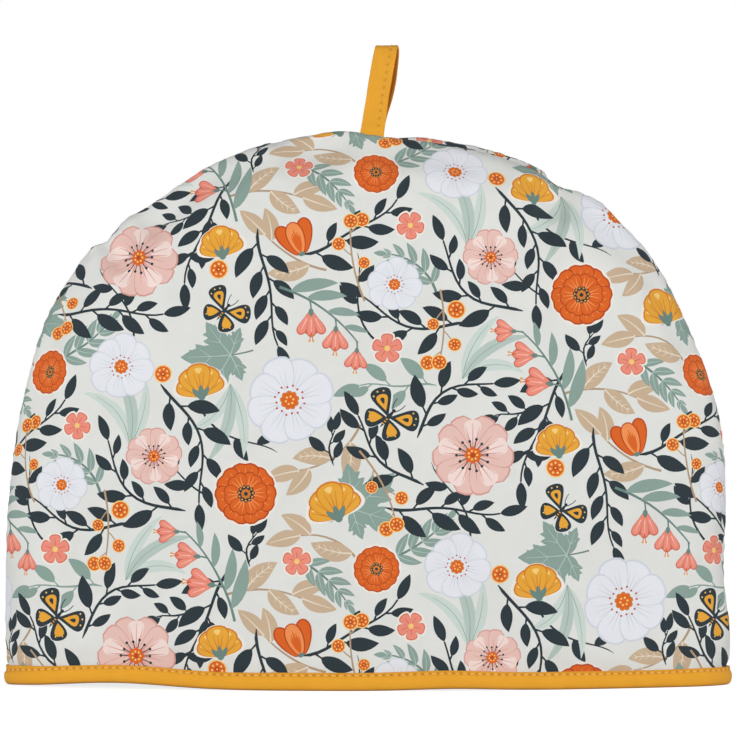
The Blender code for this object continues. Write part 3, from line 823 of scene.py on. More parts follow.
REPEAT = (  # the lowest layer first: each x, y, turn and size, and the bend of what grows
    (Motif.TENDRIL, (
        (32, 90, 62, 50, 95), (66, 68, 286, 46, 84), (84, 24, 196, 44, -88), (38, 136, 332, 44, 96),
        (152, 95, 150, 48, -90),
    )),
    (Motif.GRASSES, ((33.5, 47.5, 78, 42, 61), (31, 173, 66, 40, -61), (80.5, 77, 282, 40, -51))),
    (Motif.BEIGE, ((142.5, 178.5, 114, 35, 75), (79, 166.5, 18, 36, -41))),
    (Motif.LOBED_LEAF, ((91, 93, 196, 33, -24),)),
    (Motif.BEIGE, ((141.5, 57.5, 246, 37, -58), (125.5, 130.5, 168, 34, -37))),
    (Motif.LOBED_LEAF, ((127.5, 12.5, 24, 36, 30),)),
    (Motif.FROND, ((111, 183.5, 336, 33, -33), (19.5, 24.5, 102, 33, 75), (152, 182, 18, 36, 30))),
    (Motif.SAGE_VINE, ((19, 170, 162, 36, 37),)),
    (Motif.VINE, (
        (47.5, 77, 306, 63, -35), (10, 145.5, 66, 49, -61), (60, 17.5, 168, 56, -59),
        (153, 19, 342, 54, 30), (93, 150.5, 264, 57, 32), (114, 138, 0, 53, 61),
        (13, 123.5, 150, 47, -33), (33, 12, 186, 53, -40), (81.5, 178.5, 222, 59, 49),
    )),
    (Motif.FINE_VINE, ((90, 179.5, 102, 17, -47), (129, 38.5, 102, 17, -28), (64, 157.5, 168, 18, 34))),
    (Motif.BERRIES, ((21, 27.5, 282, 33, -25), (141, 45.5, 312, 37, -29), (143.5, 116, 114, 37, -27))),
    (Motif.BELLS, ((83, 154, 102, 49, 35), (103.5, 122.5, 342, 46, -35))),
    (Motif.BERRY, ((74.5, 131.5, 216, 4), (28.5, 18, 0, 3.9), (48.5, 82, 6, 3.8))),
    (Motif.ROSE, ((36, 137.5, 0, 18.5),)),
    (Motif.POPPY, ((88, 25.5, 40, 14.2),)),
    (Motif.ANEMONE, ((108.5, 69, 55, 20),)),
    (Motif.ROSE, ((45, 43, 40, 13),)),
    (Motif.POPPY, ((149, 178.5, 55, 10.5),)),
    (Motif.ANEMONE, ((28.5, 85.5, 25, 15), (157.5, 124, 25, 12.5))),
    (Motif.BUTTERCUP, ((131.5, 14, 20, 15), (76.5, 137.5, 8, 12.5), (67, 71, 8, 13.5))),
    (Motif.TULIP, ((114, 138, 20, 17.5),)),
    (Motif.SMALL, ((154, 93.5, 0, 6.8), (7, 58, 40, 6.3), (112, 182, 0, 6.4))),
    (Motif.BUTTERFLY, ((154.5, 61, 320, 27), (77, 111.5, 320, 24))),
)


def one_repeat() -> list[Drawing]:
    """Draw the motifs of one repeat in their places."""
    spots = [(motif, *spot) for motif, group in REPEAT for spot in group]
    return [moved(motif.drawn(*sizes), (x, y), turn) for motif, x, y, turn, *sizes in spots]


# Small relief of the panels' faces --------------


CREASE_BOW = 0.06  # how far a crease bows aside, as a share of its length
CREASE_GROWS, CREASE_FADES = 0.3, 0.6  # the shares of its length over which it does
CREASE_AT_START, CREASE_AT_END = 0.5, 0.2  # how much of that is done at its ends
CREASE_WIDTHS = (0.75, 0.5)  # its half width at its start, and what that grows by


class Crease(NamedTuple):
    """One soft trough or ridge in a panel's cloth, along a line on its flat cut."""

    start: tuple[float, float]
    end: tuple[float, float]
    half_width: float
    depth: float  # negative is a ridge

    def share(self, x: Array, z: Array) -> Array:
        """Return its share of its depth: 1 on its bowed line, fading all round."""
        start, end = np.array(self.start), np.array(self.end)
        along = end - start
        length = float(np.linalg.norm(along))
        unit = along / length
        run = (x - start[0]) * unit[0] + (z - start[1]) * unit[1]
        aside = (x - start[0]) * -unit[1] + (z - start[1]) * unit[0]
        done = np.clip(run / length, 0, 1)
        bow = CREASE_BOW * length * np.sin(math.pi * done)
        ends = smooth_step(run / (CREASE_GROWS * length) + CREASE_AT_START)
        ends *= smooth_step((length - run) / (CREASE_FADES * length) + CREASE_AT_END)
        return ends * hump(aside, bow, self.half_width * (CREASE_WIDTHS[0] + CREASE_WIDTHS[1] * done))


CREASES = {
    Side.FRONT: rows_of(
        Crease,
        ((-38, 288), (-34, 254), 12, 2), ((98, 266), (86, 212), 6, 1.3),
        ((112, 262), (106, 226), 5, -0.7), ((-138, 234), (-112, 196), 6, 1.2),
        ((-126, 246), (-104, 212), 5, -0.7), ((44, 280), (38, 240), 7, 0.9),
        ((-60, 280), (-48, 236), 7, 0.9), ((96, 204), (66, 176), 8, 1.5),
        ((118, 214), (92, 236), 10, -1.2), ((160, 190), (118, 168), 8, 1.2),
        ((-160, 190), (-112, 136), 7, 1.4), ((176, 36), (120, 46), 9, 0.8),
        ((-178, 30), (-126, 48), 9, 0.9), ((-60, 14), (-36, 60), 8, 0.6), ((64, 14), (48, 56), 8, 0.6),
    ),
    Side.BACK: rows_of(
        Crease,
        ((84, 264), (62, 208), 7, 1.3), ((-96, 262), (-80, 214), 6, 1.2), ((10, 284), (4, 232), 8, 0.9),
        ((-168, 170), (-112, 150), 9, 1), ((172, 120), (116, 112), 9, 0.9),
        ((-90, 14), (-70, 66), 9, 0.7),
    ),
}


class Swell(NamedTuple):
    """One long, low wave across a panel, as wadding gives."""

    along: float  # wavelength from left to right
    upward: float  # wavelength upwards
    start: float  # where the wave starts, in turns
    height: float


SWELLS = rows_of(
    Swell,
    (96, 410, 0.13, 0.75), (-260, 88, 0.52, 0.7), (61, 73, 0.31, 0.55), (-47, 64, 0.77, 0.45),
    (33, -41, 0.05, 0.2), (-19, 27, 0.4, 0.07),
)


class RaisedRoll(NamedTuple):
    """Where one panel's roll stands up beside the seam and shows above it."""

    side: Side
    start: float  # degrees round the middle of the hem, from +X
    start_fade: float  # degrees over which it grows
    end: float
    end_fade: float
    height: float


RAISED_ROLLS = (
    RaisedRoll(Side.BACK, 70.3, 0.9, 88.6, 5, 2.9),
    RaisedRoll(Side.FRONT, 90.5, 1.6, 97, 4, 1.2),
    RaisedRoll(Side.FRONT, 118, 3, 123, 0.9, 1.3),
)


class HemWave(NamedTuple):
    """Where the front of the hem is lifted a little off the ground."""

    x: float
    half_width: float
    lift: float


HEM_WAVES = (HemWave(-127, 37, 2.8), HemWave(43, 27, 0.9))
HEM_WAVE_FADE = 14  # the lift fades over this depth, towards the seam plane


def hem_lift(x: Array, y: Array) -> Array:
    """Return how far the hem is lifted at places (x, y) in the shared frame."""
    lift = sum(wave.lift * hump(x, wave.x, wave.half_width) for wave in HEM_WAVES)
    return lift * smooth_step(-y / HEM_WAVE_FADE)


class Ripple(NamedTuple):
    """Small waves along an edge, which die away from it."""

    length: float
    height: float
    reach: float  # how far from the edge they are felt
    wander: tuple[Sine, ...]  # how unevenly they follow each other, in turns

    def at(self, run: Array, off: Array) -> Array:
        """Return their height at a run along the edge and a distance off it."""
        turns = run / self.length + uneven(run, self.wander)
        return self.height * np.sin(2 * math.pi * turns) * np.exp(-off / self.reach)


SEAM_RIPPLE = Ripple(11, 0.34, 9, (Sine(0.35, 10.7, 1.3), Sine(0.22, 4.6)))
SEAM_RIPPLE_SIZE = Sine(0.4, 8.4, 0.7)  # how the ripple's height comes and goes along the seam
HEM_RIPPLE = Ripple(8.5, 0.2, 9, (Sine(0.3, 12.1, 0.4), Sine(0.2, 5.3)))


@dataclass(frozen=True)
class SeamFinish:
    """How the cloth looks beside the seam and above the binding."""

    groove_depth: float = 0.9
    groove_width: float = 0.8
    free_of_seam: float = 12.0  # the wadding's swells are full this far from the seam
    free_of_hem: float = 14.0  # and this far above the binding
    hem_tuck: float = 0.7  # how far the cloth dives in just above the binding
    hem_tuck_height: float = 2.6
    mouth_half_width: float = 7.6  # the seam opens this far to each side of the loop
    mouth_depth: float = 1.45
    mouth_reach: float = 6.0
    mouth_x: float = 2.0
    roll_place: float = 3.6  # how far from the seam a raised roll is highest
    roll_reach: float = 2.6
    crown_hollow: float = 3.0  # how far the face falls back below the seam's upper part
    crown_hollow_place: float = 16.0
    crown_hollow_reach: float = 11.0
    inner_gap: float = 0.6  # how far the inner face keeps off the seam plane
    inner_gap_reach: float = 4.0


CROWN_FROM, CROWN_FADE = 0.5, 0.3  # the heading's sine where the crown starts, and its fade


def crown_share(angle: Array) -> Array:
    """Return 1 near the top of the seam and 0 near the hem."""
    return smooth_step((np.sin(np.radians(angle)) - CROWN_FROM) / CROWN_FADE)


@dataclass
class PanelMap:
    """Lays a panel's flat cut over its domed form.

    A flat point is told by its heading round the middle of the hem and by its share of the way
    to the seam. Lengths along each heading are kept, so the print doesn't stretch on the roll.
    """

    form: CosyForm
    side: Side
    seam: SeamFinish = field(default_factory=SeamFinish)
    headings: int = 721
    steps: int = 420
    low_heading: float = 2.0  # degrees, just below the seam's lowest point
    angle_step: float = 0.05  # degrees, for slopes
    share_step: float = 0.0012
    seam_count: int = 401  # points of the flat outline along the seam
    hem_count: int = 132  # and along the hem
    corner_from: float = 3.0  # degrees, a first guess of where the seam meets the straight part
    corner_rounds: int = 20  # closing in on it
    side_shares: tuple[float, float] = (0.55, 0.45)  # of the straight part's ends, for a point between

    def __post_init__(self) -> None:
        """Work out the lengths along each heading and along the seam."""
        self.angles = np.linspace(self.low_heading, 180 - self.low_heading, self.headings)
        share = 1 - (1 - np.linspace(0, 1, self.steps + 1)) ** 2
        edge = self.form.seam_radius(self.angles)
        radius = edge[:, None] * share[None, :]
        depth = self.form.face_depth(*polar_places(radius, self.angles[:, None]), self.side)
        runs = [run_along(joined(*row)) for row in zip(radius, depth)]
        self.reaches = np.array([run[-1] for run in runs])
        even = np.linspace(0, 1, self.steps + 1)
        self.shares = np.stack([np.interp(even, run / run[-1], share) for run in runs])
        self.seam_runs = run_along(joined(*polar_places(edge, self.angles)))

    def reach(self, angle: Array) -> Array:
        """Return how far the seam is along the cloth, at headings in degrees."""
        return np.interp(angle, self.angles, self.reaches)

    def inset(self, angle: Array, share: Array) -> Array:
        """Return how far inside the seam points lie along the cloth."""
        return (1 - share) * self.reach(angle)

    def polar(self, flat: Array) -> tuple[Array, Array, Array]:
        """Return flat points' headings in degrees, shares of the way to the seam, and drops.

        A drop is how far a point lies below the height that the panel stands straight up to.
        """
        across = -self.side.toward * flat[:, 0]
        level = np.maximum(flat[:, 1], self.form.straight_to)
        angle = np.degrees(np.arctan2(level, across))
        return angle, np.hypot(across, level) / self.reach(angle), level - flat[:, 1]

    def inside(self, flat: Array, margin: float) -> Array:
        """Tell which flat points lie on the cut, at least margin from its edge."""
        angle, share, _ = self.polar(flat)
        return (self.inset(angle, share) > margin) & (flat[:, 1] > self.form.panel_bottom + margin)

    def bare(self, angle: Array, share: Array) -> Array:
        """Return (x, depth, z) on the plain form, without relief."""
        column = (angle - self.angles[0]) / (self.angles[1] - self.angles[0])
        left = np.clip(np.floor(column).astype(int), 0, self.headings - 2)
        row = np.clip(share, 0, 1) * self.steps
        low = np.clip(np.floor(row).astype(int), 0, self.steps - 1)
        over, up = column - left, row - low
        near = self.shares[left, low] * (1 - up) + self.shares[left, low + 1] * up
        far = self.shares[left + 1, low] * (1 - up) + self.shares[left + 1, low + 1] * up
        radius = (near * (1 - over) + far * over) * self.form.seam_radius(angle)
        x, z = polar_places(radius, angle)
        return joined(x, self.form.face_depth(x, z, self.side), z)

    def facing(self, surface: Callable, angle: Array, share: Array) -> Array:
        """Return a surface's outward unit normals, in (x, depth, z)."""
        along = surface(angle + self.angle_step, share) - surface(angle - self.angle_step, share)
        share = np.clip(share, self.share_step, 1)
        outward = surface(angle, share) - surface(angle, share - self.share_step)
        return unit_rows(np.cross(along, outward))

    def wadding(self, x: Array, z: Array, inset: Array) -> Array:
        """Return the swells and creases of the padded face."""
        seam, height = self.seam, np.zeros_like(x)
        free = smooth_step(inset / seam.free_of_seam)
        free *= smooth_step((z - self.form.straight_to) / seam.free_of_hem)
        for swell in SWELLS:
            turns = x / swell.along + z / swell.upward + swell.start
            height -= self.side.toward * swell.height * np.sin(2 * math.pi * turns) * free
        for crease in CREASES[self.side]:
            height -= crease.depth * crease.share(x, z)
        return height

    def beside_seam(self, angle: Array, inset: Array) -> Array:
        """Return the hollow below the crown, the raised rolls and the seam's ripple."""
        seam = self.seam
        below = hump(inset, seam.crown_hollow_place, seam.crown_hollow_reach)
        height = -seam.crown_hollow * crown_share(angle) * below
        for roll in RAISED_ROLLS:
            if roll.side is self.side:
                grown = smooth_step((angle - roll.start) / roll.start_fade)
                grown *= smooth_step((roll.end - angle) / roll.end_fade)
                height += roll.height * grown * hump(inset, seam.roll_place, seam.roll_reach)
        run = np.interp(angle, self.angles, self.seam_runs)
        size = 1 - SEAM_RIPPLE_SIZE.height + uneven(run, (SEAM_RIPPLE_SIZE,))
        return height + size * SEAM_RIPPLE.at(run, inset)

    def relief(self, angle: Array, share: Array) -> Array:
        """Return how far the cloth stands proud of the plain form."""
        inset = self.inset(angle, share)
        x, z = polar_places(share * self.reach(angle), angle)
        above = np.maximum(z - self.form.straight_to, 0)
        height = self.wadding(x, z, inset) + self.beside_seam(angle, inset)
        height += HEM_RIPPLE.at(x, above)
        return height - self.seam.hem_tuck * hump(above, 0, self.seam.hem_tuck_height)

    def dressed(self, angle: Array, share: Array) -> Array:
        """Return (x, depth, z) on the finished cloth."""
        seam = self.seam
        share = np.clip(share, 0, 1)
        place = self.bare(angle, share)
        place += self.facing(self.bare, angle, share) * self.relief(angle, share)[:, None]
        inset = self.inset(angle, share)
        pull = seam.groove_depth * hump(inset, 0, seam.groove_width)
        place[:, (0, 2)] -= joined(*polar_places(pull, angle))
        beside = np.exp(-(((place[:, 0] - seam.mouth_x) / seam.mouth_half_width) ** 4))
        above = crown_share(angle) * hump(inset, 0, seam.mouth_reach)
        place[:, 1] = np.maximum(place[:, 1], 0) + seam.mouth_depth * beside * above
        return place

    def to_world(self, place: Array, drop: Array) -> Array:
        """Turn (x, depth, z) into places in the shared frame, lowered by drop."""
        depth = self.side.toward * (place[:, 1] + self.form.clearance / 2)
        hidden = self.form.straight_to - self.form.panel_bottom
        held_up = hem_lift(place[:, 0], depth) / hidden
        return joined(place[:, 0], depth, place[:, 2] - drop * (1 - held_up))

    def place(self, flat: Array) -> tuple[Array, Array]:
        """Return flat points' places on the finished cloth, and the outward unit normals."""
        angle, share, drop = self.polar(flat)
        normal = self.facing(self.dressed, angle, np.minimum(share, 1))
        normal[:, 1] *= self.side.toward
        return self.to_world(self.dressed(angle, share), drop), normal

    def place_inside(self, flat: Array) -> tuple[Array, Array]:
        """Lay flat points on the pad's inner face, and return them with its normals."""
        angle, share, drop = self.polar(flat)
        share = np.minimum(share, 1)
        place, normal = self.bare(angle, share), self.facing(self.bare, angle, share)
        normal[drop > 0, 2] = 0
        normal = unit_rows(normal)
        place -= normal * self.form.pad_thickness(place[:, 0], place[:, 2])[:, None]
        gap = self.seam.inner_gap * smooth_step(self.inset(angle, share) / self.seam.inner_gap_reach)
        place[:, 1] = np.maximum(place[:, 1], gap)
        return self.to_world(place, drop), normal * (-1, -self.side.toward, -1)

    def grid(self, spacing: float, margin: float, rows: float = 1, stagger: float = 0) -> Array:
        """Return a grid on the cut, whose every other row may be shifted."""
        outline = self.outline()
        low, high = outline.min(axis=0), outline.max(axis=0)
        found = []
        for number, height in enumerate(np.arange(low[1], high[1], spacing * rows)):
            across = np.arange(low[0] + (number % 2) * spacing * stagger, high[0], spacing)
            found.append(joined(across, height))
        points = np.concatenate(found)
        return points[self.inside(points, margin)]

    def outline(self) -> Array:
        """Return the flat cut's outline, counterclockwise."""
        ends = []
        for angle in (self.corner_from, 180 - self.corner_from):
            for _ in range(self.corner_rounds):
                low = math.degrees(math.asin(self.form.straight_to / float(self.reach(angle))))
                angle = low if angle < 90 else 180 - low
            ends.append(angle)
        angles = np.linspace(ends[0], ends[1], self.seam_count)
        seam = joined(*polar_places(self.reach(angles), angles))
        bottom = self.form.panel_bottom
        hem_x = np.linspace(seam[-1, 0], seam[0, 0], self.hem_count)
        hem = joined(hem_x, bottom)
        half_down = self.form.straight_to * self.side_shares[0] + bottom * self.side_shares[1]
        outline = np.concatenate((seam, [(hem_x[0], half_down)], hem, [(hem_x[-1], half_down)]))
        outline[:, 0] *= -self.side.toward
        return outline if self.side is Side.FRONT else outline[::-1]


# Cloth in the print's inks ----------------------


def cut_sheet(outline: Array, points: Array, edges: Array, merge: float) -> tuple:
    """Cut a flat sheet into triangles.

    Args:
        outline: The sheet's outline, counterclockwise.
        points: More points for the triangles to use.
        edges: Pairs of numbers of those points, joined by edges that the triangles keep to.
        merge: Points nearer than this become one.

    Returns:
        Flat points, triangles, and the numbers of the given points that each flat point is.
    """
    corners = [Vector(p) for p in np.concatenate((outline, points)).tolist()]
    ring = list(range(len(outline)))
    found = delaunay_2d_cdt(corners, (edges + len(outline)).tolist(), [ring], 0, merge, True)
    inside = [face for face, owners in zip(found[2], found[5]) if owners]
    return np.array([tuple(p) for p in found[0]]), np.array(inside), found[3]


def sides_of(triangles: Array) -> Array:
    """Return the sides of triangles, as pairs of point numbers."""
    return np.concatenate([triangles[:, pair] for pair in ((0, 1), (1, 2), (2, 0))])


def ink_edges(flat: Array, triangles: Array, inks: Array) -> tuple:
    """Return the points and edges that part one ink from another."""
    sides, owner = np.sort(sides_of(triangles), axis=1), np.tile(inks, 3)
    order = np.lexsort((sides[:, 1], sides[:, 0]))
    sides, owner = sides[order], owner[order]
    twin = (sides[1:] == sides[:-1]).all(axis=1)
    used, numbers = np.unique(sides[1:][twin & (owner[1:] != owner[:-1])], return_inverse=True)
    return flat[used], numbers.reshape(-1, 2)


def covers(outline: Array, x: Array, y: Array) -> Array:
    """Tell which points an outline surrounds, by how often it passes on their right."""
    ends = np.roll(outline, -1, axis=0)
    low, high = outline[:, 1], ends[:, 1]
    passes = (low[None, :] > y[:, None]) != (high[None, :] > y[:, None])
    rise = np.where(high == low, 1, high - low)
    at = outline[:, 0] + (y[:, None] - low) * (ends[:, 0] - outline[:, 0]) / rise
    return ((passes & (x[:, None] < at)).sum(axis=1) % 2) == 1


def paint(centres: Array, patches: list[Patch]) -> Array:
    """Return the ink number at each flat point: that of the topmost patch over it."""
    order = np.argsort(centres[:, 0])
    x, y = centres[order].T
    found = np.full(len(centres), UNPRINTED)
    for patch in patches:
        low, high = patch.outline.min(axis=0), patch.outline.max(axis=0)
        first, last = np.searchsorted(x, (low[0], high[0]))
        near = first + np.nonzero((y[first:last] > low[1]) & (y[first:last] < high[1]))[0]
        if len(near):
            found[near[covers(patch.outline, x[near], y[near])]] = INK_NUMBERS[patch.ink]
    back = np.empty_like(found)
    back[order] = found
    return back


@dataclass
class PrintedCloth:
    """The flat cut of one panel, cut along the edges of its print."""

    laid: PanelMap
    shift: tuple[float, float]
    grow: float = 1.08
    spacing: float = 3.0
    row_share: float = 0.87  # the rows stand closer than the spacing, and every other is shifted
    stagger: float = 0.5
    seam_rings: tuple[float, ...] = (0.45, 0.9, 1.6, 2.8, 4.6)
    ring_points: int = 380
    ring_from: float = 3.2  # degrees
    merge: float = 1e-4

    def patches(self) -> list[Patch]:
        """Return the print's patches that reach onto the cut, the lowest layer first."""
        outline = self.laid.outline()
        low, high = outline.min(axis=0), outline.max(axis=0)
        step = np.array((TILE_WIDTH, TILE_HEIGHT)) * self.grow
        tiles = [(column, row) for column in range(-3, 4) for row in range(-3, 4)]
        found = []
        for drawing in one_repeat():
            for column, row in tiles:
                corner = np.array(self.shift) + step * (column, row + 0.5 * (column % 2))
                for ink, shape in drawing:
                    at = shape * self.grow + corner
                    if (at.max(axis=0) < low).any() or (at.min(axis=0) > high).any():
                        continue
                    if self.laid.inside(at, -1).any():
                        found.append(Patch(ink, at))
        return found

    def spare_points(self) -> Array:
        """Return points that let the cloth bend, with rows beside the seam."""
        keep = [self.laid.grid(self.spacing, self.seam_rings[-1] + 1, self.row_share, self.stagger)]
        angles = np.linspace(self.ring_from, 180 - self.ring_from, self.ring_points)
        for inset in self.seam_rings:
            ring = joined(*polar_places(self.laid.reach(angles) - inset, angles))
            keep.append(ring * (-self.laid.side.toward, 1))
        return np.concatenate(keep)

    def cut(self) -> tuple[Array, Array, Array]:
        """Cut the cloth along its print.

        Returns:
            Flat points, triangles (three point numbers each), and each triangle's ink number.
        """
        patches, outline, spare = self.patches(), self.laid.outline(), self.spare_points()
        edges, first = [], 0
        for patch in patches:
            numbers = np.arange(len(patch.outline)) + first
            edges.append(joined(numbers, np.roll(numbers, -1)))
            first += len(numbers)
        edges, points = np.concatenate(edges), np.concatenate([patch.outline for patch in patches])
        flat, triangles, _ = cut_sheet(outline, points, edges, self.merge)
        inks = paint(flat[triangles].mean(axis=1), patches)
        points, edges = ink_edges(flat, triangles, inks)
        flat, triangles, _ = cut_sheet(outline, np.concatenate((points, spare)), edges, self.merge)
        inks = paint(flat[triangles].mean(axis=1), patches)
        log.info("%s cloth: %d patches, %d triangles", self.laid.side.value, len(patches), len(triangles))
        return flat, triangles, inks


# Meshes -----------------------------------------

BAKE_MARGIN = 0.01  # between what lies side by side on a bake map
BAKE_USED = 0.98  # the share of the bake map that is used
BAKE_ROW_USED = 0.94  # and of each row of a sweep
CAP_PLACE, CAP_SIZE = (0.5, 0.985), 0.01  # where a sweep's end caps lie on the bake map
CAP_THREADS = 10  # millimetres of thread for the whole map's width


@dataclass
class Skin:
    """Triangles ready for a mesh, with what each of their corners carries."""

    triangles: Array  # n x 3 point numbers
    normals: Array  # n x 3 x 3
    cloth: Array  # n x 3 x 2, millimetres along the threads
    bake: Array  # n x 3 x 2, places on the map from 0 to 1
    finish: int
    inks: Array  # n ink numbers


def linear(colour: Colour) -> tuple[float, float, float]:
    """Turn a colour as the eye sees it, out of 255, into light amounts."""
    shares = [channel / 255 for channel in colour]
    return tuple(c / 12.92 if c <= 0.04045 else ((c + 0.055) / 1.055) ** 2.4 for c in shares)


def linked(name: str, mesh: Mesh) -> Object:
    """Put a mesh into the scene."""
    made = bpy.data.objects.new(name, mesh)
    bpy.context.scene.collection.objects.link(made)
    return made


def dress(
    mesh: Mesh, bake: Array, cloth: Array, colours: Array, domain: str
) -> None:
    """Smooth a mesh, and give it its two maps and its colours.

    Args:
        mesh: The mesh.
        bake: A place on the bake map for each corner.
        cloth: Millimetres along the threads for each corner.
        colours: Colours of the domain's parts, as light amounts.
        domain: CORNER or POINT.
    """
    for layer, values in ((BAKE_MAP, bake), (CLOTH_MAP, cloth)):
        uv = mesh.uv_layers.new(name=layer)
        uv.data.foreach_set("uv", values.astype(np.float32).ravel())
    colours = colours.reshape(-1, 3)
    full = np.concatenate((colours, np.ones((len(colours), 1))), axis=1)
    dye = mesh.color_attributes.new(name=INK_LAYER, type="FLOAT_COLOR", domain=domain)
    dye.data.foreach_set("color", full.astype(np.float32).ravel())
    mesh.shade_smooth()


def mesh_from_skins(name: str, points: Array, skins: list[Skin], finishes: list) -> Object:
    """Make one object from skins that share their points.

    Args:
        name: The piece's name.
        points: Places in millimetres, one a row.
        skins: What covers the points.
        finishes: The piece's materials, by the skins' finish numbers.

    Returns:
        The linked object, at the origin.
    """
    mesh = bpy.data.meshes.new(name)
    triangles, normals, cloth, bake, inks = (
        np.concatenate([getattr(skin, part) for skin in skins])
        for part in ("triangles", "normals", "cloth", "bake", "inks")
    )
    mesh.from_pydata((points * MM).tolist(), [], triangles.tolist())
    for finish in finishes:
        mesh.materials.append(finish)
    numbers = np.repeat([skin.finish for skin in skins], [len(skin.triangles) for skin in skins])
    mesh.polygons.foreach_set("material_index", numbers.astype(np.int32))
    palette = np.array([linear(ink.value) for ink in Ink])
    dress(mesh, bake, cloth, np.repeat(palette[inks], 3, axis=0), "CORNER")
    mesh.normals_split_custom_set(normals.reshape(-1, 3).tolist())
    log.info("%s: %d triangles", name, len(triangles))
    return linked(name, mesh)


def rim_of(triangles: Array) -> Array:
    """Return a sheet's outer ring of points, in its triangles' turning sense."""
    known = set(map(tuple, sides_of(triangles).tolist()))
    follow = {a: b for a, b in known if (b, a) not in known}
    start = next(iter(follow))
    ring = [start]
    while follow[ring[-1]] != start:
        ring.append(follow[ring[-1]])
    return np.array(ring)


@dataclass
class PaddedPanel:
    """One padded panel: printed cloth outside, wadding, and a plain cloth inside."""

    laid: PanelMap
    cloth: PrintedCloth
    printed: Material
    backing: Material
    inner_spacing: float = 8.0
    inner_margin: float = 0.4  # of that spacing, kept free along the rim
    inner_merge: float = 1e-7
    inner_share: float = 0.235  # the inner face's height on the bake map
    edge_start: float = 0.4  # the edge strip lies beside it, from here
    edge_share: float = 0.59
    edge_height: float = 0.024
    edge_length: float = 1200.0  # the edge strip's millimetres of thread, along and across
    edge_width: float = 8.0

    def build(self, name: str) -> Object:
        """Make the panel."""
        flat, triangles, inks = self.cloth.cut()
        places, normals = self.laid.place(flat)
        low, size = flat.min(axis=0), np.ptp(flat, axis=0)
        scale = BAKE_USED / size[0]
        bake = (flat - low) * scale + BAKE_MARGIN
        outer = Skin(triangles, normals[triangles], flat[triangles], bake[triangles], 0, inks)
        rim = rim_of(triangles)
        grid = self.laid.grid(self.inner_spacing, self.inner_spacing * self.inner_margin)
        no_edges = np.zeros((0, 2), dtype=int)
        back_flat, inside, sources = cut_sheet(flat[rim], grid, no_edges, merge=self.inner_merge)
        numbers = {source: new for new, given in enumerate(sources) for source in given}
        back_rim = np.array([numbers[k] for k in range(len(rim))]) + len(flat)
        places_inside, normals = self.laid.place_inside(back_flat)
        shelf = size[1] * scale + 1.5 * BAKE_MARGIN
        bake = (back_flat - low) * self.inner_share / size[1] + (BAKE_MARGIN, shelf)
        turned = inside[:, ::-1]
        plain = np.full(len(turned), UNPRINTED)
        shown = (normals[turned], back_flat[turned], bake[turned])
        inner = Skin(turned + len(flat), *shown, finish=1, inks=plain)
        points = np.concatenate((places, places_inside))
        edge = self.edge_strip(points, rim, back_rim, shelf + BAKE_MARGIN)
        made = mesh_from_skins(name, points, [outer, inner, edge], [self.printed, self.backing])
        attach(made, BODY)
        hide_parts(f"{self.laid.side.value}_panel")
        return made

    def edge_strip(self, points: Array, rim: Array, back_rim: Array, shelf: float) -> Skin:
        """Return the narrow skin that joins the two faces along the seam and the hem."""
        both, count = (rim, back_rim), len(rim)
        corners = ((1, 0), (0, 0), (0, 1), (1, 0), (0, 1), (1, 1))  # steps ahead, and to the back
        numbers = [np.roll(both[back], -ahead) for ahead, back in corners]
        triangles = joined(*numbers).reshape(-1, 3)
        at = points[triangles]
        normal = unit_rows(np.cross(at[:, 1] - at[:, 0], at[:, 2] - at[:, 0]))
        steps = np.array(corners) + np.arange(count)[:, None, None] * (1, 0)
        place = (steps * (1 / count, -1) + (0, 1)).reshape(-1, 3, 2)
        return Skin(
            triangles=triangles,
            normals=np.repeat(normal[:, None, :], 3, axis=1),
            cloth=place * (self.edge_length, self.edge_width),
            bake=place * (self.edge_share, self.edge_height) + (self.edge_start, shelf),
            finish=1,
            inks=np.full(len(triangles), UNPRINTED),
        )


def mesh_from_grid(
    name: str, grid: Array, cloth: Array, painted_shade: Array,
    bake_rows: int, finish: Material, ring: bool,
) -> Object:
    """Make a swept piece from a grid of stations by section points, closed round its section.

    Args:
        name: The piece's name.
        grid: Places in millimetres, stations x section points x 3.
        cloth: Thread directions' millimetres, (stations + 1) x (section points + 1) x 2.
        painted_shade: The painted shade that each point's colour is multiplied by, stations x section points
            x 3.
        bake_rows: How many rows the sweep is laid in on its bake map.
        finish: The material.
        ring: Whether the last station joins the first. If not, both ends are capped.

    Returns:
        The linked object, at the origin.
    """
    stations, corners = grid.shape[:2]
    spans = stations if ring else stations - 1
    row, column = np.divmod(np.arange(spans * corners), corners)
    rows = joined(row, row + 1, row + 1, row)
    sides = joined(column, column, column + 1, column + 1)
    faces = (rows % stations * corners + sides % corners).tolist()
    threads = cloth[rows, sides].reshape(-1, 2)
    each = math.ceil(spans / bake_rows)
    shelf = (row // each)[:, None]
    across = BAKE_MARGIN + BAKE_USED * (rows - shelf * each) / each
    upward = BAKE_MARGIN + (BAKE_USED * sides / corners * BAKE_ROW_USED + shelf) / bake_rows * BAKE_USED
    bake = joined(across, upward).reshape(-1, 2)
    if not ring:
        count = stations * corners
        faces += [list(range(corners)), list(range(count - corners, count))[::-1]]
        turn = np.linspace(0, 2 * math.pi, corners, endpoint=False)
        cap = joined(np.cos(turn), np.sin(turn)) * CAP_SIZE + CAP_PLACE
        bake = np.concatenate((bake, cap, cap[::-1]))
        threads = np.concatenate((threads, cap * CAP_THREADS, cap[::-1] * CAP_THREADS))
    mesh = bpy.data.meshes.new(name)
    mesh.from_pydata((grid.reshape(-1, 3) * MM).tolist(), [], faces)
    mesh.materials.append(finish)
    dress(mesh, bake, threads, painted_shade, "POINT")
    log.info("%s: %d faces", name, len(faces))
    return linked(name, mesh)


# Hem binding ------------------------------------

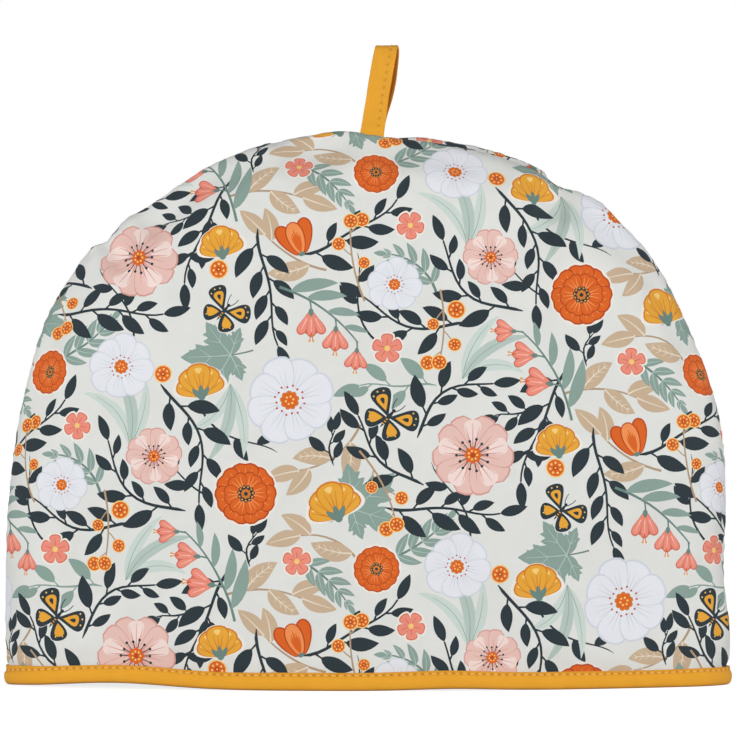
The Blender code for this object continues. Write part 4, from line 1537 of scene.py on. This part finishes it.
BINDING_SECTION = np.array((  # how far each point stands off the pad, and how high
    (0.12, 8.3), (0.3, 8.95), (0.58, 9.16), (0.84, 9), (0.92, 8.56), (0.8, 8.12),
    (0.52, 7.75),  # the stitched line
    (0.84, 7.38), (1.24, 6.8), (1.52, 6), (1.68, 5), (1.7, 3.9), (1.6, 2.8), (1.34, 1.8),
    (0.94, 0.95), (0.38, 0.34), (-0.4, 0.04), (-1.5, 0), (-3.1, 0), (-4.2, 0.04), (-5, 0.35),
    (-5.55, 1), (-5.88, 2), (-6.05, 3.4), (-5.98, 5.2), (-5.7, 6.8),
    (-5.3, 7.75),  # the stitched line inside
    (-5.62, 8.3), (-5.4, 8.95), (-4.95, 9), (-4.72, 8.3), (-4.72, 4.6), (-4.6, 1.8), (-2.3, 1.2),
    (0, 1.8), (0.12, 4.6),
))
STITCHED_OUTSIDE = 6
STITCHED_INSIDE = 26
STATION_SINES = (Sine(0.7, 7.7, 0.8),)
SWING, SWING_DRIFT = Sine(0.6, 3.1), Sine(1.6, 17)
REDDENING = (1, 1.25, 1.6)  # the power of each colour's share: the painted shade of marigold reddens as it deepens
RING_POINTS = 2401  # of the pad's lower edge, on each side
EDGE_SINES = (Sine(0.6, 29, 0.5), Sine(0.4, 11.3))


@dataclass
class HemBinding:
    """The strip that is folded over both panels' lower edges, and its row of stitches."""

    form: CosyForm
    cotton: Material
    stitches: int = 204
    stations_each: int = 6
    middle_out: float = -2.3  # the fold's middle: what stands off more is its outside
    dimple: float = 0.42
    dimple_reach: float = 0.75
    puff: float = 0.16
    puff_height: float = 4.2
    puff_reach: float = 2.6
    stitched_height: float = 7.75
    upper_edge: float = 9.0
    line_shade: float = 0.12  # painted shade: how much darker the cloth is along the stitches
    line_reach: float = 0.4
    lip_shade: float = 0.14  # painted shade along its upper edge
    lip_reach: float = 0.35
    foot_shade: float = 0.42  # painted shadow where it meets the ground
    foot_reach: float = 0.7
    thread_lift: float = 0.12
    hole_shade: float = 0.3  # painted shade where the thread goes through
    uneven_height: float = 0.28
    left_end_rise: float = 0.7
    left_end_sink: float = 1.1
    left_end_reach: float = 16.0
    sink_height: float = 7.4
    sink_reach: float = 1.1
    hidden_girth: float = 4.0  # thread millimetres from the section's last point to its first

    def plan(self) -> tuple[Array, Array]:
        """Return even points round the pad's lower edge, and the way out from each."""
        turn = np.linspace(-math.pi / 2, math.pi / 2, RING_POINTS)
        x = self.form.panel_half_width * np.sin(turn)
        level = np.full_like(x, self.form.straight_to)
        depth = self.form.face_depth(x, level, Side.FRONT) + self.form.clearance / 2
        front, back = joined(x, -depth), joined(x, depth)[::-1]
        ring = np.concatenate((front, back, front[:1]))
        run = run_along(ring)
        at = np.linspace(0, run[-1], self.stitches * self.stations_each, endpoint=False)
        even = np.stack([np.interp(at, run, row) for row in ring.T], axis=1)
        self.length = float(run[-1])
        along = unit_rows(np.roll(even, -1, axis=0) - np.roll(even, 1, axis=0))
        return even, joined(along[:, 1], -along[:, 0])

    def painted_shading(self, level: Array, pull: Array) -> Array:
        """Return the strip's painted shade: darker at the stitches, the upper edge and the ground."""
        line = hump(level, self.stitched_height, self.line_reach)
        shade = 1 - line * (self.line_shade + self.hole_shade * pull**2)
        shade = shade * (1 - self.lip_shade * hump(level, self.upper_edge, self.lip_reach))
        shade = shade * (1 - self.foot_shade * hump(level, 0, self.foot_reach))
        return joined(*(shade**power for power in REDDENING))

    def grid(self) -> Array:
        """Return the strip's surface, stations by section points."""
        plan, away = self.plan()
        out, level = (np.tile(row, (len(plan), 1)) for row in BINDING_SECTION.T)
        station = np.arange(len(plan))
        run = station / len(plan) * self.length
        lean = np.where(out > self.middle_out, 1, -1)
        drift = uneven(run, (SWING_DRIFT,))
        swing = SWING.height * np.sin(run / SWING.length + drift) + uneven(run, STATION_SINES)
        out = out + lean * self.puff * swing[:, None] * hump(level, self.puff_height, self.puff_reach)
        pull = (0.5 + 0.5 * np.cos(2 * math.pi * station / self.stations_each))[:, None]
        out = out - lean * self.dimple * pull * hump(level, self.stitched_height, self.dimple_reach)
        # painted shade, by which the strip's colour is multiplied
        self.painted_shade = self.painted_shading(level, pull)
        near_left = hump(plan[:, 0], -self.form.panel_half_width, self.left_end_reach)
        rise = self.uneven_height * uneven(run, EDGE_SINES) + self.left_end_rise * near_left
        sink = self.left_end_sink * near_left[:, None] * hump(level, self.sink_height, self.sink_reach)
        height = level + rise[:, None] * (level / self.upper_edge) ** 2
        height = np.maximum(height - sink, 0) + hem_lift(*plan.T)[:, None]
        places = plan[:, None, :] + away[:, None, :] * out[:, :, None]
        return np.concatenate((places, height[:, :, None]), axis=2)

    def build(self) -> tuple[Object, list[Array]]:
        """Make the strip.

        Returns:
            The piece, and the two closed lines that its stitches follow.
        """
        grid = self.grid()
        girth = run_round(BINDING_SECTION, self.hidden_girth)
        run = np.linspace(0, self.length, len(grid) + 1)
        along, across = np.meshgrid(run, girth, indexing="ij")
        bias = joined(along + across, along - across) / math.sqrt(2)
        made = mesh_from_grid("hem_binding_strip", grid, bias, self.painted_shade, 3, self.cotton, ring=True)
        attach(made, BODY)
        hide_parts("hem_binding")
        lines = []
        for column, lift in ((STITCHED_OUTSIDE, self.thread_lift), (STITCHED_INSIDE, -self.thread_lift)):
            line = grid[:, column].copy()
            line[:, :2] += self.plan()[1] * lift
            lines.append(np.roll(line, -self.stations_each // 2, axis=0))
        return made, lines


# Hanging loop -----------------------------------

TAPE_LINE = np.array((  # the front leg's middle line, side on: depth and height
    (-0.78, -4.5), (-0.8, 0), (-1, 2.6), (-1.5, 4.9), (-2.65, 9), (-3.85, 14), (-4.75, 20),
    (-5.05, 26), (-4.75, 32), (-3.95, 37), (-2.85, 41), (-1.55, 43.35), (0, 44.2),
))
TAPE_SECTION = np.array((  # the outer half: the way across, and how far it stands off
    (-6, 0), (-5.93, 0.42), (-5.6, 0.72), (-4.9, 0.8), (-3.4, 0.74), (-1.2, 0.72), (0.9, 0.72),
    (2, 0.7), (2.6, 0.56),  # the last is the stitched line
    (3.2, 0.72), (4.2, 0.8), (5.2, 0.82), (5.75, 0.7), (5.97, 0.4), (6.02, 0),
))
TAPE_STITCHED = 8
TAPE_EDGE_SINES = (Sine(0.072, 5.3, 0.6), Sine(0.036, 2.1))
TAPE_THICK_SINES = (Sine(0.05, 3.7),)


@dataclass
class HangingLoop:
    """The folded tape that is caught in the seam at the crown."""

    form: CosyForm
    tape: Material
    x: float = 2.0
    lean: float = 9.5  # degrees, towards +X
    turn: float = 14.0  # degrees round its own length
    turn_height: float = 22.0
    front_swing: float = 0.25  # the front leg stays nearly straight, seen from the front
    back_swing: float = 1.55
    # painted shade at the stitch holes
    hole_shade: float = 0.45
    hole_length: float = 0.16  # of a stitch
    hole_width: float = 0.5
    # painted shade on the inner face, which the front leg shades: darker and redder
    inner_painted_shade: tuple[float, float, float] = (0.74, 0.5, 0.4)
    stations: int = 150
    stitches: int = 12  # on each leg
    stitch_from: float = 1.2
    leg_depth: float = 0.9  # what lies nearer the seam plane is the bend at the top
    closing: float = 0.5  # thread millimetres from the section's last point to its first
    cap: float = 1.0  # and over the end

    def middle_line(self) -> tuple[Array, Array]:
        """Return the tape's middle line (depth, height) from root to root, and its run."""
        whole = np.concatenate((TAPE_LINE, (TAPE_LINE * (-1, 1))[::-1][1:]))
        knots = run_along(whole)
        run = np.linspace(0, knots[-1], self.stations)
        return np.stack([curve_through(knots, row, run) for row in whole.T], axis=1), run

    def lay(self, across: Array, depth: Array, height: Array) -> Array:
        """Lean and turn points of the loop into their places."""
        rise = np.maximum(height, 0)
        turn = math.radians(self.turn) * smooth_step(rise / self.turn_height)
        x = self.x + math.tan(math.radians(self.lean)) * rise
        swing = np.where(depth < 0, self.front_swing, self.back_swing)
        x = x + across * np.cos(turn) + depth * np.sin(turn) * swing
        y = depth * np.cos(turn) - across * np.sin(turn)
        return joined(x, y, height + self.form.seam_top_at(self.x))

    def painted_shade(self, run: Array, section: Array, legs: tuple) -> Array:
        """Return the tape's painted shade: darker at holes along the stitched line, and darker and redder on
        the inside.
        """
        hole = np.zeros(len(run))
        for leg in legs:
            from_end = (run[leg] - run[leg][0]) / (run[leg][-1] - run[leg][0])
            hole[leg] = hump((from_end * (self.stitches - 1)) % 1, 0.5, self.hole_length)
        beside = hump(section[:, 0], TAPE_SECTION[TAPE_STITCHED, 0], self.hole_width)
        shade = 1 - self.hole_shade * hole[:, None] * beside[None, :]
        painted_shade = np.repeat(shade[:, :, None], 3, axis=2)
        # painted shade on the inner face
        painted_shade[:, len(TAPE_SECTION) :] *= self.inner_painted_shade
        return painted_shade

    def build(self) -> tuple[Object, list[Array]]:
        """Make the tape.

        Returns:
            The piece, and the open lines that its stitches follow.
        """
        line, run = self.middle_line()
        along = unit_rows(np.gradient(line, axis=0))
        off = joined(-along[:, 1], along[:, 0])  # away from the eye
        section = np.concatenate((TAPE_SECTION, (TAPE_SECTION * (1, -1))[::-1][1:-1]))
        across = section[:, 0] + uneven(run, TAPE_EDGE_SINES)[:, None] * np.sign(section[:, 0])
        thick = section[:, 1] * (1 + uneven(run, TAPE_THICK_SINES)[:, None])
        grid = self.lay(across, line[:, :1] + off[:, :1] * thick, line[:, 1:] + off[:, 1:] * thick)
        girth, run_on = run_round(section, self.closing), np.append(run, run[-1] + self.cap)
        cloth = np.stack(np.meshgrid(run_on, girth, indexing="ij"), axis=2)
        shown = line[:, 1] > self.stitch_from
        legs = (shown & (line[:, 0] < -self.leg_depth), shown & (line[:, 0] > self.leg_depth))
        painted_shade = self.painted_shade(run, section, legs)
        made = mesh_from_grid("hanging_loop_tape", grid, cloth, painted_shade, 1, self.tape, ring=False)
        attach(made, BODY)
        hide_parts("hanging_loop")
        return made, [grid[leg, TAPE_STITCHED] for leg in legs]


# Stitches ---------------------------------------


@dataclass
class NodeWork:
    """Adds nodes to a tree, each with what goes into it."""

    tree: NodeTree

    def add(self, kind: str, inputs: dict | None = None, **settings: object) -> bpy_prop_collection:
        """Add a node.

        Args:
            kind: The node's type.
            inputs: What goes into its inputs, by name or number: another node's output or a value.
            settings: The node's own settings.

        Returns:
            The node's outputs.
        """
        node = self.tree.nodes.new(kind)
        for name, setting in settings.items():
            setattr(node, name, setting)
        self.feed(node, inputs or {})
        return node.outputs

    def feed(self, node: Node, inputs: dict) -> None:
        """Link or set a node's inputs."""
        for key, given in inputs.items():
            if isinstance(given, NodeSocket):
                self.tree.links.new(given, node.inputs[key])
            else:
                node.inputs[key].default_value = given

    def math(self, operation: str, *values: object) -> NodeSocket:
        """Return the result of a maths node on outputs or plain numbers."""
        return self.add("ShaderNodeMath", dict(enumerate(values)), operation=operation)["Value"]


BALL_SHAPE = {"Segments": 8, "Rings": 6}


@dataclass
class StitchRows:
    """Rows of thread that follow lines on the cloth, laid by geometry nodes."""

    name: str
    thread: Material
    count: int
    length: float
    radius: float
    unevenness: float = 0.12
    seed: int = 7

    def tree(self) -> NodeTree:
        """Return the node tree that puts one stitch at each step of its lines."""
        tree = bpy.data.node_groups.new(self.name, "GeometryNodeTree")
        tree.is_modifier = True
        kinds = {
            "NodeSocketGeometry": ("Lines",),
            "NodeSocketInt": ("Stitches", "Seed"),
            "NodeSocketFloat": ("Length", "Radius", "Unevenness"),
            "NodeSocketMaterial": ("Thread",),
        }
        for kind, labels in kinds.items():
            for label in labels:
                tree.interface.new_socket(label, in_out="INPUT", socket_type=kind)
        tree.interface.new_socket("Sewn", in_out="OUTPUT", socket_type="NodeSocketGeometry")
        work = NodeWork(tree)
        given = work.add("NodeGroupInput")
        curve = work.add("GeometryNodeMeshToCurve", {"Mesh": given["Lines"]})["Curve"]
        steps = {"Curve": curve, "Count": given["Stitches"]}
        even = work.add("GeometryNodeResampleCurve", steps)["Curve"]
        tangent = work.add("GeometryNodeInputTangent")["Tangent"]
        aim = work.add("FunctionNodeAlignRotationToVector", {"Vector": tangent}, axis="X")["Rotation"]
        ball = work.add("GeometryNodeMeshUVSphere", BALL_SHAPE)["Mesh"]
        low = work.math("SUBTRACT", 1, given["Unevenness"])
        limits = {2: low, 3: 1, "Seed": given["Seed"]}
        chance = work.add("FunctionNodeRandomValue", limits, data_type="FLOAT")[1]
        half = work.math("MULTIPLY", work.math("MULTIPLY", given["Length"], chance), 0.5)
        radii = {"X": half, "Y": given["Radius"], "Z": given["Radius"]}
        size = work.add("ShaderNodeCombineXYZ", radii)["Vector"]
        laid = {"Points": even, "Instance": ball, "Rotation": aim, "Scale": size}
        sewn = work.add("GeometryNodeInstanceOnPoints", laid)["Instances"]
        real = work.add("GeometryNodeRealizeInstances", {"Geometry": sewn})["Geometry"]
        dyed = {"Geometry": real, "Material": given["Thread"]}
        done = work.add("GeometryNodeSetMaterial", dyed)["Geometry"]
        work.add("NodeGroupOutput", {"Sewn": done})
        return tree

    def build(self, lines: list[Array], closed: bool, slot: str) -> Object:
        """Sew the rows.

        Args:
            lines: The lines to follow, in millimetres.
            closed: Whether each line joins its own start.
            slot: The record's material slot, which is not used.

        Returns:
            The piece, as a plain mesh.
        """
        points, edges = [], []
        for line in lines:
            numbers = np.arange(len(line)) + len(points)
            pairs = joined(numbers, np.roll(numbers, -1))
            edges += (pairs if closed else pairs[:-1]).tolist()
            points += (line * MM).tolist()
        path = bpy.data.meshes.new(self.name)
        path.from_pydata(points, edges, [])
        made = linked(self.name, path)
        sewing = made.modifiers.new("sewing", "NODES")
        tree = self.tree()
        sewing.node_group = tree
        given = {
            "Stitches": self.count,
            "Length": self.length * MM,
            "Radius": self.radius * MM,
            "Unevenness": self.unevenness,
            "Seed": self.seed,
            "Thread": self.thread,
        }
        for socket in tree.interface.items_tree:
            if socket.name in given:
                sewing[socket.identifier] = given[socket.name]
        ready = made.evaluated_get(bpy.context.evaluated_depsgraph_get())
        sewn = bpy.data.meshes.new_from_object(ready)
        made.modifiers.remove(sewing)
        made.data = sewn
        sewn.name = self.name
        sewn.shade_smooth()
        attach(made, BODY)
        log.info("%s: %d faces", self.name, len(sewn.polygons))
        return made


# Materials --------------------------------------


@dataclass(frozen=True)
class ClothFinish:
    """What a woven cloth looks like."""

    name: str
    colour: Colour  # as the eye sees it, unless inked
    inked: bool = False  # takes its colour from the print instead
    tinted: bool = False  # is darker where the piece's painted shade says so
    roughness: float = 0.86
    gloss: float = 0.25
    sheen: float = 0.12
    sheen_roughness: float = 0.5
    thread: float = 0.42  # millimetres from thread to thread
    weave_depth: float = 0.05  # millimetres
    weave_shade: float = 0.06  # painted shade: how much darker the gaps between threads are
    crossing: float = 0.12  # how softly one thread passes under the next
    flatness: float = 0.55  # how much of a thread's height it keeps at its ends
    mottle: float = 0.05
    blotches: float = 90.0  # how fine they are
    flecks: float = 1500.0
    softness: float = 0.25  # millimetres of low, wide unevenness
    soft_scale: float = 70.0


PRINTED = ClothFinish("printed_cotton_cloth", (226, 229, 225), inked=True, thread=0.4, mottle=0.04)
BACKING = ClothFinish("backing_cotton_cloth", (226, 221, 208), thread=0.6)
BINDING = ClothFinish(
    "binding_cotton_cloth", (236, 167, 44), tinted=True, thread=0.36, weave_depth=0.04, mottle=0.06
)
TAPE = ClothFinish("loop_tape_cloth", (233, 165, 46), tinted=True, thread=0.36, weave_depth=0.04, mottle=0.06)


def blank_material(name: str) -> tuple[Material, NodeWork, Node]:
    """Return a new material, its tree's node work and its shader."""
    material = bpy.data.materials.new(name)
    material.use_nodes = True
    return material, NodeWork(material.node_tree), material.node_tree.nodes["Principled BSDF"]


@dataclass
class ClothMaterial:
    """Builds a woven cloth's material from its finish."""

    finish: ClothFinish

    def build(self) -> Material:
        """Return the material."""
        finish = self.finish
        material, self.work, shader = blank_material(finish.name)
        math_of, weave = self.work.math, self.weave()
        blotches = math_of("SUBTRACT", self.noise(finish.blotches, detail=4), 0.5)
        flecks = math_of("SUBTRACT", self.noise(finish.flecks, detail=2), 0.5)
        # painted shade in the gaps between threads
        shade = math_of("MULTIPLY", math_of("SUBTRACT", weave, 1), finish.weave_shade)
        mottle = math_of("MULTIPLY", blotches, 2 * finish.mottle)
        fleck = math_of("MULTIPLY", flecks, finish.mottle)
        tone = math_of("ADD", math_of("ADD", shade, mottle), math_of("ADD", fleck, 1))
        toned = {0: self.colour(), "Scale": tone}
        colour = self.work.add("ShaderNodeVectorMath", toned, operation="SCALE")["Vector"]
        soft = self.bump(self.noise(finish.soft_scale, detail=3), finish.softness)
        given = {
            "Base Color": colour,
            "Roughness": finish.roughness,
            "Specular IOR Level": finish.gloss,
            "Sheen Weight": finish.sheen,
            "Sheen Roughness": finish.sheen_roughness,
            "Normal": self.bump(weave, finish.weave_depth, {"Normal": soft}),
        }
        self.work.feed(shader, given)
        return material

    def noise(self, scale: float, detail: float) -> NodeSocket:
        """Return a noise in the piece's own places."""
        places = self.work.add("ShaderNodeTexCoord")["Object"]
        given = {"Scale": scale, "Detail": detail, "Vector": places}
        return self.work.add("ShaderNodeTexNoise", given)["Fac"]

    def colour(self) -> NodeSocket:
        """Return the cloth's own colour, before its shades."""
        dye = self.work.add("ShaderNodeVertexColor", layer_name=INK_LAYER)["Color"]
        if self.finish.inked:
            return dye
        plain = self.work.add("ShaderNodeRGB")["Color"]
        plain.default_value = (*linear(self.finish.colour), 1)
        if not self.finish.tinted:
            return plain
        return self.work.add("ShaderNodeVectorMath", {0: dye, 1: plain}, operation="MULTIPLY")["Vector"]

    def weave(self) -> NodeSocket:
        """Return the height of a plain weave: each thread goes over one and under the next."""
        work, finish = self.work, self.finish
        places = work.add("ShaderNodeUVMap", uv_map=CLOTH_MAP)["UV"]
        parts = work.add("ShaderNodeSeparateXYZ", {"Vector": places})
        turn = math.pi / finish.thread
        warp, weft = (work.math("SINE", work.math("MULTIPLY", parts[axis], turn)) for axis in "XY")
        limits = {
            "Value": work.math("MULTIPLY", warp, weft),
            "From Min": -finish.crossing,
            "From Max": finish.crossing,
        }
        over = work.add("ShaderNodeMapRange", limits, interpolation_type="SMOOTHSTEP")["Result"]
        ridge, cross = work.math("ABSOLUTE", warp), work.math("ABSOLUTE", weft)
        rounded = 1 - finish.flatness
        up, down = (
            work.math("MULTIPLY", own, work.math("MULTIPLY_ADD", other, rounded, finish.flatness))
            for own, other in ((ridge, cross), (cross, ridge))
        )
        return work.add("ShaderNodeMix", {"Factor": over, "A": down, "B": up})["Result"]

    def bump(
        self, height: NodeSocket, depth: float, under: dict | None = None
    ) -> NodeSocket:
        """Return normals bent by a height of the given depth in millimetres."""
        given = {"Strength": 1, "Distance": depth * MM, "Height": height, **(under or {})}
        return self.work.add("ShaderNodeBump", given)["Normal"]


@dataclass(frozen=True)
class ThreadFinish:
    """What sewing thread looks like."""

    name: str
    colour: Colour
    roughness: float = 0.62
    sheen: float = 0.15
    twists: float = 1400.0  # to the metre
    groove_shade: float = 0.86  # painted shade: how bright it is between its strands

    def build(self) -> Material:
        """Return the material."""
        material, work, shader = blank_material(self.name)
        places = work.add("ShaderNodeTexCoord")["Object"]
        given = {"Scale": self.twists, "Vector": places}
        twist = work.add("ShaderNodeTexWave", given, bands_direction="DIAGONAL")["Fac"]
        light = linear(self.colour)
        dark = (*(channel * self.groove_shade for channel in light), 1)
        given = {"Factor": twist, "A": dark, "B": (*light, 1)}
        ramp = work.add("ShaderNodeMix", given, data_type="RGBA")["Result"]
        given = {"Base Color": ramp, "Roughness": self.roughness, "Sheen Weight": self.sheen}
        work.feed(shader, given)
        return material


BINDING_THREAD = ThreadFinish("binding_thread", (247, 192, 92))
TAPE_THREAD = ThreadFinish("tape_thread", (236, 172, 62))


# Studio -----------------------------------------


class Lamp(NamedTuple):
    """One soft light: its place, the height it aims at, its width and power."""

    name: str
    place: tuple[float, float, float]
    aim_height: float
    width: float
    power: float


LAMPS = (
    Lamp("key_light", (-1.6, -3.1, 0.5), 0.13, 2.2, 107),
    Lamp("fill_light", (2.3, -2.5, 0.42), 0.12, 2, 56),
    Lamp("left_light", (-3.6, -0.5, 0.32), 0.1, 1.6, 42),
    Lamp("right_light", (3.6, -0.5, 0.32), 0.1, 1.6, 56),
    Lamp("back_light", (0.4, 3.5, 1), 0.1, 2.4, 48),
)
WHITE = (1, 1, 1, 1)
SKY = (0.97, 0.985, 1, 1)
FLOOR_GREY = (0.46, 0.46, 0.46, 1)


@dataclass
class Studio:
    """The camera, the lights and the floor."""

    distance: float = 3.0
    elevation: float = 1.0  # degrees
    frame_width: float = 0.3746
    aim_height: float = 0.161
    sensor: float = 36.0
    floor_half: float = 2.6
    floor_roughness: float = 0.9
    ambient: float = 0.07
    floor_shown: float = 0.8  # how bright the floor looks of itself
    floor_glow: float = 0.03  # how much light it gives

    def build(self) -> None:
        """Set the scene."""
        scene = bpy.context.scene
        scene.view_settings.view_transform = "Standard"
        lens = bpy.data.cameras.new("camera")
        lens.sensor_width = self.sensor
        lens.lens = self.sensor * self.distance / self.frame_width
        camera = bpy.data.objects.new("camera", lens)
        scene.collection.objects.link(camera)
        tilt = math.radians(self.elevation)
        back = Vector((0, -math.cos(tilt), math.sin(tilt)))
        camera.location = Vector((0, 0, self.aim_height)) + back * self.distance
        camera.rotation_euler = (math.radians(90 - self.elevation), 0, 0)
        scene.camera = camera
        for lamp in LAMPS:
            light = bpy.data.lights.new(lamp.name, "AREA")
            light.shape = "SQUARE"
            light.size = lamp.width
            light.energy = lamp.power
            holder = bpy.data.objects.new(lamp.name, light)
            holder.location = lamp.place
            aim = Vector((0, 0, lamp.aim_height)) - Vector(lamp.place)
            holder.rotation_euler = aim.to_track_quat("-Z", "Y").to_euler()
            scene.collection.objects.link(holder)
        self.sky()
        self.floor()

    def sky(self) -> None:
        """Fill the room with even light, and let the camera see it as white."""
        world = bpy.data.worlds.new("studio")
        world.use_nodes = True
        bpy.context.scene.world = world
        work, nodes = NodeWork(world.node_tree), world.node_tree.nodes
        work.feed(nodes["Background"], {"Color": WHITE, "Strength": 1})
        light = {"Color": SKY, "Strength": self.ambient}
        given = {
            "Fac": work.add("ShaderNodeLightPath")["Is Camera Ray"],
            1: work.add("ShaderNodeBackground", light)["Background"],
            2: nodes["Background"].outputs["Background"],
        }
        work.feed(nodes["World Output"], {"Surface": work.add("ShaderNodeMixShader", given)["Shader"]})

    def floor(self) -> None:
        """Lay the pale floor."""
        half = self.floor_half
        mesh = bpy.data.meshes.new("floor")
        corners = [(-half, -half, 0), (half, -half, 0), (half, half, 0), (-half, half, 0)]
        mesh.from_pydata(corners, [], [(0, 1, 2, 3)])
        material, work, shader = blank_material("floor_paint")
        seen = work.add("ShaderNodeLightPath")["Is Camera Ray"]
        limits = {"Value": seen, "To Min": self.floor_glow, "To Max": self.floor_shown}
        given = {
            "Base Color": FLOOR_GREY,
            "Roughness": self.floor_roughness,
            "Emission Color": WHITE,
            "Emission Strength": work.add("ShaderNodeMapRange", limits)["Result"],
        }
        work.feed(shader, given)
        mesh.materials.append(material)
        made = linked("floor", mesh)


FRONT_SHIFT, BACK_SHIFT = (14, -30), (-40, 22)  # where the print's repeat starts


def main() -> None:
    """Dress the frame."""
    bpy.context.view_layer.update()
    form = CosyForm()
    printed, backing = ClothMaterial(PRINTED).build(), ClothMaterial(BACKING).build()
    for side, shift in ((Side.FRONT, FRONT_SHIFT), (Side.BACK, BACK_SHIFT)):
        laid = PanelMap(form, side)
        cloth = PrintedCloth(laid, shift)
        PaddedPanel(laid, cloth, printed, backing).build(f"{side.value}_panel_padded")
    binding = HemBinding(form, ClothMaterial(BINDING).build())
    strip, hem_lines = binding.build()
    thread = BINDING_THREAD.build()
    sewing = StitchRows("hem_stitches", thread, binding.stitches, length=2.8, radius=0.36)
    hem_stitches = sewing.build(hem_lines, True, "binding_cotton")
    loop = HangingLoop(form, ClothMaterial(TAPE).build())
    tape, loop_lines = loop.build()
    tape_thread = TAPE_THREAD.build()
    sewing = StitchRows("loop_stitches", tape_thread, loop.stitches, length=2.6, radius=0.24, seed=11)
    loop_stitches = sewing.build(loop_lines, False, "loop_tape")
    Studio().build()


if __name__ == "__main__":
    main()
